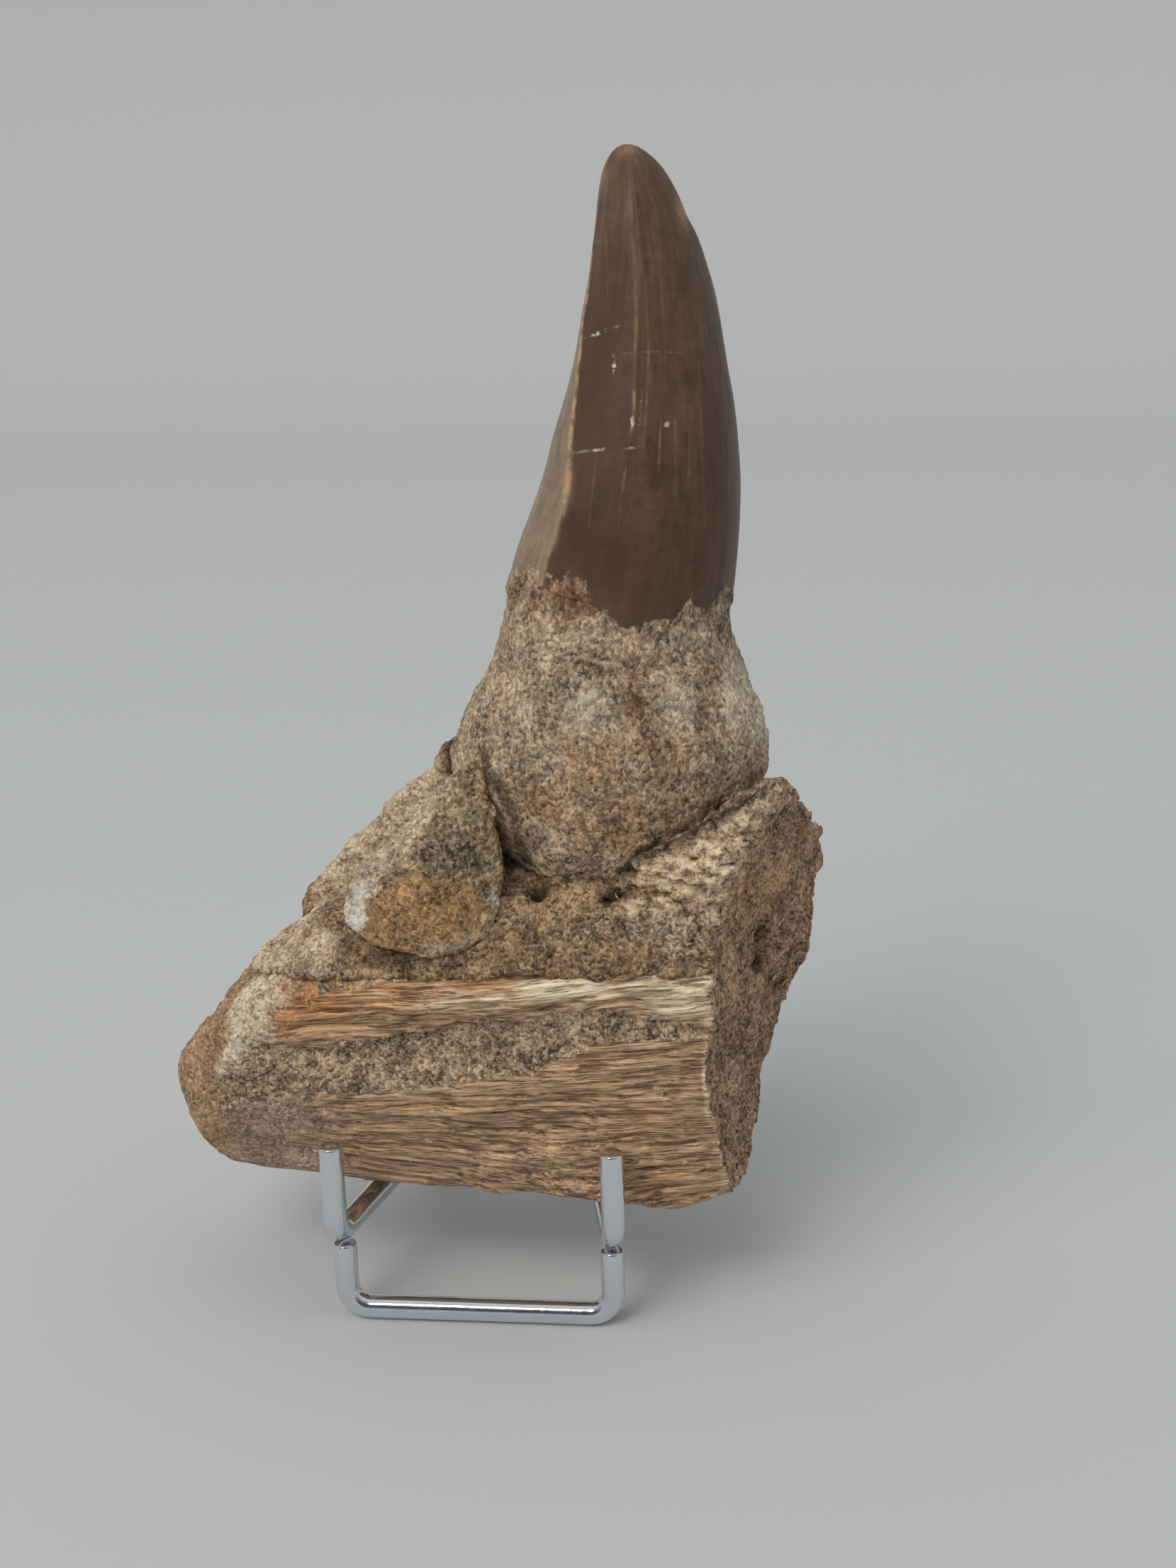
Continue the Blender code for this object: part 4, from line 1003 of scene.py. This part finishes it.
CRESCENT = ((-4.6, 0.0, 51.0), (-2.0, -0.2, 50.7), (1.0, 0.6, 51.3), (3.0, 1.6, 53.0), (4.1, 2.4, 55.2))
OVERHANG = ((-11.6, 0.6, 60.0), (-7.0, 0.0, 61.4), (-2.6, -0.6, 60.0), (1.2, 0.2, 59.0), (3.4, 1.6, 57.4))


def fragment_skin(places, normals):
    """A rubbed lower half under a rough, sandy upper one, with a lip between them and at the foot."""
    brown = near_spots(places, FRAGMENT_BROWN)
    rubbed = smooth_step(0.35, 0.6, brown)
    coarse = 0.35 * swell(places, 3.0, 4) + 0.32 * swell(places, 0.9, 2) + pits(places, 0.8, 0.30)
    fine = 0.25 * swell(places, 3.5) + 0.14 * swell(places, 0.8, 2)
    crescent = in_groove(places, CRESCENT, 0.6)
    lip = 0.30 * crescent + 0.30 * in_groove(places, OVERHANG, 0.8)
    marks = {
        "brown": brown, "grey": near_spots(places, FRAGMENT_GREY), "rim": near_spots(places, FRAGMENT_RIM),
        "pale": near_spots(places, FRAGMENT_PALE), "crescent": 0.85 * crescent,
    }
    return rubbed * fine + (1 - rubbed) * coarse + lip - 0.05, marks


def fragment_material(sand):
    """A chip of root: rubbed brown dentine below, sand-crusted above, with pale broken edges."""
    made, tree, place = new_material("rubbed brown root fragment")
    lumps = stretched_noise(tree, place, (1.5 * MM,) * 3, 5.0)
    grains = sand_pattern(tree, place, sand.grain)
    layer = sand_over(tree, grains, lumps, sand_layer(tree, grains, linear("#AD9678"), 0.95), (
        ("grey", linear("#817460"), 1.3, 0.35, 0.25),
        ("brown", linear("#AD8A63"), 0.9, 0.3, 0.25),
        ("rim", linear("#CBB99E"), 0.8, 0.35, 0.25),
        ("crescent", linear("#B39F8B"), 0.7, 0.25, 0.25),
        ("pale", linear("#F8F0E2"), 0.45, 0.35, 0.25)))
    finish_dusty(tree, *layer, 0.45 * MM, 0.88)
    return made


class FOSSIL_OT_fragment(bpy.types.Operator):
    """Carve the loose fragment of root on the left"""
    bl_idname = "fossil.fragment"
    bl_label = "Root fragment"

    def execute(self, context):
        sand = context.scene.fossil_sand
        material = fragment_material(sand)
        carved_piece("root_fragment_chip", "root_fragment", sand.fragment_voxel, 6, fragment_skin, material)
        return {"FINISHED"}


# --- stand ---------------------------------------------------------------------------------
PRONG = (17.6, -2.0, 24.9)         # half the distance between the prongs, their depth and their top
ARM_HEIGHT = 12.4
ARM_TOE_IN = math.radians(12.0)
ARM_END = 32.8            # where the arms turn up into the back rest
REST_TOP = 54.0
REST_LEAN = math.radians(12.0)
FOOT_HALF_WIDTH = 17.1
REAR_FOOT = (29.0, 44.0)  # depths of the rear foot's top and of its bar
WELD_GAP = 0.35           # between the cradle and the posts of the feet
BEND_STEPS = 10
CUT_ROUNDING = 0.1        # of a wire's diameter, round its cut ends


def bend_wire(corners, radii, wire, sides):
    """Draws a wire along straight runs and round bends, and rounds its cut ends."""
    corners = [Vector(corner) * MM for corner in corners]
    bm = bmesh.new()
    direction = (corners[1] - corners[0]).normalized()
    turn = Vector((0, 0, 1)).rotation_difference(direction).to_matrix().to_4x4()
    start = Matrix.Translation(corners[0]) @ turn
    bmesh.ops.create_circle(bm, segments=sides, radius=wire / 2, matrix=start)
    ring = bm.edges[:]
    here = corners[0]
    for corner, after, radius in zip(corners[1:], corners[2:] + [None], list(radii) + [0.0]):
        if after is None:
            stop = corner
        else:
            onward = (after - corner).normalized()
            angle = direction.angle(onward)
            stop = corner - direction * radius * math.tan(angle / 2)
        grown = bmesh.ops.extrude_edge_only(bm, edges=ring)["geom"]
        bmesh.ops.translate(bm, vec=stop - here, verts=only(BMVert, grown))
        if after is not None:
            axis = direction.cross(onward).normalized()
            centre = stop + axis.cross(direction) * radius
            spun = bmesh.ops.spin(bm, geom=only(BMEdge, grown) + only(BMVert, grown), cent=centre,
                                  axis=axis, angle=angle, steps=BEND_STEPS, use_duplicate=False)
            ring = only(BMEdge, spun["geom_last"])
            here = corner + onward * radius * math.tan(angle / 2)
            direction = onward
    ends = [edge for edge in bm.edges if edge.is_boundary]
    bmesh.ops.holes_fill(bm, edges=ends)
    bmesh.ops.bevel(bm, geom=ends, offset=CUT_ROUNDING * wire, offset_type="OFFSET", affect="EDGES",
                    segments=3, profile=0.5, material=-1)
    bmesh.ops.recalc_face_normals(bm, faces=bm.faces)
    return mesh_of(bm, "wire")


def mirrored(half):
    """A path through some corners and back through their mirror images."""
    return half + [(-x, y, z) for x, y, z in reversed(half)]


def arm_half_width(depth):
    return PRONG[0] - (depth - PRONG[1]) * math.tan(ARM_TOE_IN)


def chrome_material(settings):
    """Bright chromium plate on drawn steel: a mirror with faint ripples and specks of duller gloss."""
    made, tree, place = new_material("bright chromium plate")
    ripple = add_node(tree, "TexNoise", {"Vector": place, "Scale": 1 / (4 * MM), "Detail": 2.0})
    specks = add_node(tree, "TexNoise", {"Vector": place, "Scale": 1 / (0.6 * MM), "Detail": 3.0})
    gloss = add_node(tree, "MapRange", {
        "Value": specks.outputs["Fac"], "From Min": 0.4, "From Max": 0.7, "To Min": 0.10, "To Max": 0.24})
    finish_material(tree, ripple.outputs["Fac"], 0.05 * MM, {
        "Base Color": (*settings.chrome, 1.0), "Metallic": 1.0, "Roughness": gloss.outputs["Result"]})
    return made


class FOSSIL_OT_stand(bpy.types.Operator):
    """Bend the chromed wires: the cradle, its front foot and its rear foot"""
    bl_idname = "fossil.stand"
    bl_label = "Wire stand"

    def execute(self, context):
        settings = context.scene.fossil_stand
        wire, radius, sides = settings.wire, settings.bend, settings.sides
        chrome = chrome_material(settings)
        half_wire = wire / MM / 2
        rest_depth = ARM_END + (REST_TOP - ARM_HEIGHT) * math.tan(REST_LEAN)
        cradle = mirrored([
            PRONG, (PRONG[0], PRONG[1], ARM_HEIGHT), (arm_half_width(ARM_END), ARM_END, ARM_HEIGHT),
            (arm_half_width(ARM_END), rest_depth, REST_TOP)])
        corner = settings.rest_corner
        pieces = [("cradle", cradle, (radius, radius, corner, corner, radius, radius), "cradle_wire")]
        under = ARM_HEIGHT - half_wire - WELD_GAP
        foot = mirrored([(FOOT_HALF_WIDTH, 0.0, under), (FOOT_HALF_WIDTH, 0.0, half_wire)])
        pieces.append(("front_foot_loop", foot, (radius, radius), "front_foot"))
        top, bar = REAR_FOOT
        lowered = under - half_wire * (bar - top) / under
        across = arm_half_width(top)
        rear = mirrored([(across, top, lowered), (across, bar, half_wire)])
        pieces.append(("rear_foot_loop", rear, (radius, radius), "rear_foot"))
        for name, corners, radii, node in pieces:
            mesh = bend_wire(corners, radii, wire, sides)
            new_piece(name, mesh, chrome, node)
        return {"FINISHED"}


# --- studio --------------------------------------------------------------------------------
CAMERA_PLACE = (45.0, -238.1, 141.3)
CAMERA_AZIMUTH = math.radians(6.97)
CAMERA_PITCH = math.radians(16.25)
CAMERA_ROLL = math.radians(-1.78)
SENSOR = 36.0             # along the long side, in mm
LAMP_FROM = (-400.0, -750.0, 750.0)    # only its direction counts
LAMP_ANGLE = math.radians(50)
WINDOW_PLACE = (-220.0, -500.0, 600.0)
WINDOW_SIZE = 210.0
SWEEP_NEAR = -1600.0      # the paper's near edge
SWEEP_DEPTH = 900.0       # where the paper turns up behind the object
SWEEP_RADIUS = 500.0
SWEEP_STEPS = 24
SWEEP_WALL = 1200.0       # its upright height, above the bend
SWEEP_HALF_WIDTH = 2200.0


def build_camera(lens):
    azimuth, pitch, roll = CAMERA_AZIMUTH, CAMERA_PITCH, CAMERA_ROLL
    ahead = Vector((-math.sin(azimuth) * math.cos(pitch), math.cos(azimuth) * math.cos(pitch),
                    -math.sin(pitch)))
    level = Vector((math.cos(azimuth), math.sin(azimuth), 0.0))
    upright = level.cross(ahead)
    right = level * math.cos(roll) + upright * math.sin(roll)
    up = upright * math.cos(roll) - level * math.sin(roll)
    data = bpy.data.cameras.new("camera")
    data.sensor_fit = "AUTO"
    data.sensor_width = SENSOR
    data.lens = lens
    data.clip_start = 0.01
    camera = bpy.data.objects.new("camera", data)
    turned = Matrix((right, up, -ahead)).transposed().to_4x4()
    camera.matrix_world = Matrix.Translation(Vector(CAMERA_PLACE) * MM) @ turned
    bpy.context.scene.collection.objects.link(camera)
    bpy.context.scene.camera = camera


def build_paper(colour):
    """A sheet of paper that lies flat and sweeps up behind the object."""
    bm = bmesh.new()
    half, near, depth = SWEEP_HALF_WIDTH * MM, SWEEP_NEAR * MM, SWEEP_DEPTH * MM
    edge = bm.edges.new([bm.verts.new((side * half, near, 0.0)) for side in (-1, 1)])
    flat = bmesh.ops.extrude_edge_only(bm, edges=[edge])["geom"]
    bmesh.ops.translate(bm, vec=(0.0, depth - near, 0.0), verts=only(BMVert, flat))
    bent = bmesh.ops.spin(bm, geom=only((BMVert, BMEdge), flat), cent=(0.0, depth, SWEEP_RADIUS * MM),
                          axis=(1.0, 0.0, 0.0), angle=math.pi / 2, steps=SWEEP_STEPS)
    wall = bmesh.ops.extrude_edge_only(bm, edges=only(BMEdge, bent["geom_last"]))["geom"]
    bmesh.ops.translate(bm, vec=(0.0, 0.0, SWEEP_WALL * MM), verts=only(BMVert, wall))
    bmesh.ops.recalc_face_normals(bm, faces=bm.faces)
    mesh = mesh_of(bm, "paper")
    mesh.shade_smooth()
    made, tree, _ = new_material("matt paper")
    shader = add_node(tree, "BsdfPrincipled", {
        "Base Color": (*colour, 1.0), "Roughness": 0.9, "Specular IOR Level": 0.2})
    add_node(tree, "OutputMaterial", {"Surface": shader.outputs["BSDF"]})
    mesh.materials.append(made)
    paper = bpy.data.objects.new("paper", mesh)
    bpy.context.scene.collection.objects.link(paper)


def hang_light(name, kind, place, power):
    """A light at a place, turned to the stand's foot."""
    data = bpy.data.lights.new(name, kind)
    data.energy = power
    light = bpy.data.objects.new(name, data)
    light.location = Vector(place) * MM
    light.rotation_euler = Vector(place).to_track_quat("Z", "Y").to_euler()
    bpy.context.scene.collection.objects.link(light)
    return light


def build_light(settings):
    """An even pale sky that is dim high up in front, a broad far lamp and a near window."""
    world = bpy.data.worlds.new("pale room")
    world.use_nodes = True
    tree = world.node_tree
    tree.nodes.clear()
    towards = add_node(tree, "TexCoord").outputs["Generated"]
    split = add_node(tree, "SeparateXYZ", {"Vector": towards})
    height = add_node(tree, "MapRange", {
        "Value": split.outputs["Z"], "From Min": -0.1, "From Max": 1.0, "To Min": 0.60, "To Max": 1.20})
    front = add_node(tree, "MapRange", {
        "Value": split.outputs["Y"], "From Min": -0.85, "From Max": -0.2, "To Min": 0.85, "To Max": 0.0})
    above = add_node(tree, "MapRange", {
        "Value": split.outputs["Z"], "From Min": 0.10, "From Max": 0.20})
    dim = add_node(tree, "Math", {
        0: front.outputs["Result"], 1: above.outputs["Result"]}, operation="MULTIPLY").outputs[0]
    strength = height.outputs["Result"]
    for factor in (weighted(tree, ((dim, -1.0),), 1.0), settings.sky):
        strength = add_node(tree, "Math", {0: strength, 1: factor}, operation="MULTIPLY").outputs[0]
    sky = add_node(tree, "Background", {"Color": (*linear("#FAFCFF"), 1.0), "Strength": strength})
    add_node(tree, "OutputWorld", {"Surface": sky.outputs["Background"]})
    bpy.context.scene.world = world
    lamp = hang_light("broad lamp", "SUN", LAMP_FROM, settings.lamp)
    lamp.data.angle = LAMP_ANGLE
    lamp.data.color = linear("#FFFAF2")
    lamp.visible_glossy = False       # the chrome shows the near window only
    hang_light("near window", "AREA", WINDOW_PLACE, settings.window).data.size = WINDOW_SIZE * MM


class FOSSIL_OT_studio(bpy.types.Operator):
    """Set up the paper sweep, the soft light and the camera"""
    bl_idname = "fossil.studio"
    bl_label = "Studio"

    def execute(self, context):
        settings = context.scene.fossil_studio
        context.scene.view_settings.view_transform = "Standard"
        build_camera(settings.lens)
        build_paper(settings.paper)
        build_light(settings)
        return {"FINISHED"}


# --- add-on --------------------------------------------------------------------------------
# the sandstone comes before what sits in it, because it is fitted to those CAD nodes
OPERATORS = (FOSSIL_OT_studio, FOSSIL_OT_stand, FOSSIL_OT_sandstone, FOSSIL_OT_tooth, FOSSIL_OT_jaw,
             FOSSIL_OT_fragment)


class FOSSIL_PT_panel(bpy.types.Panel):
    bl_idname = "FOSSIL_PT_panel"
    bl_label = "Fossil"
    bl_space_type = "VIEW_3D"
    bl_region_type = "UI"
    bl_category = "Fossil"

    def draw(self, context):
        for operator in OPERATORS:
            self.layout.operator(operator.bl_idname)
        for name, group in SETTINGS.items():
            box = self.layout.box()
            for setting in group.__annotations__:
                box.prop(getattr(context.scene, name), setting)


def register():
    for made in (*SETTINGS.values(), *OPERATORS, FOSSIL_PT_panel):
        bpy.utils.register_class(made)
    for name, group in SETTINGS.items():
        setattr(bpy.types.Scene, name, PointerProperty(type=group))


def unregister():
    for name in SETTINGS:
        delattr(bpy.types.Scene, name)
    for made in (FOSSIL_PT_panel, *reversed(OPERATORS), *reversed(SETTINGS.values())):
        bpy.utils.unregister_class(made)


def main():
    register()
    for operator in OPERATORS:
        group, name = operator.bl_idname.split(".")
        getattr(getattr(bpy.ops, group), name)()


if __name__ == "__main__":
    main()
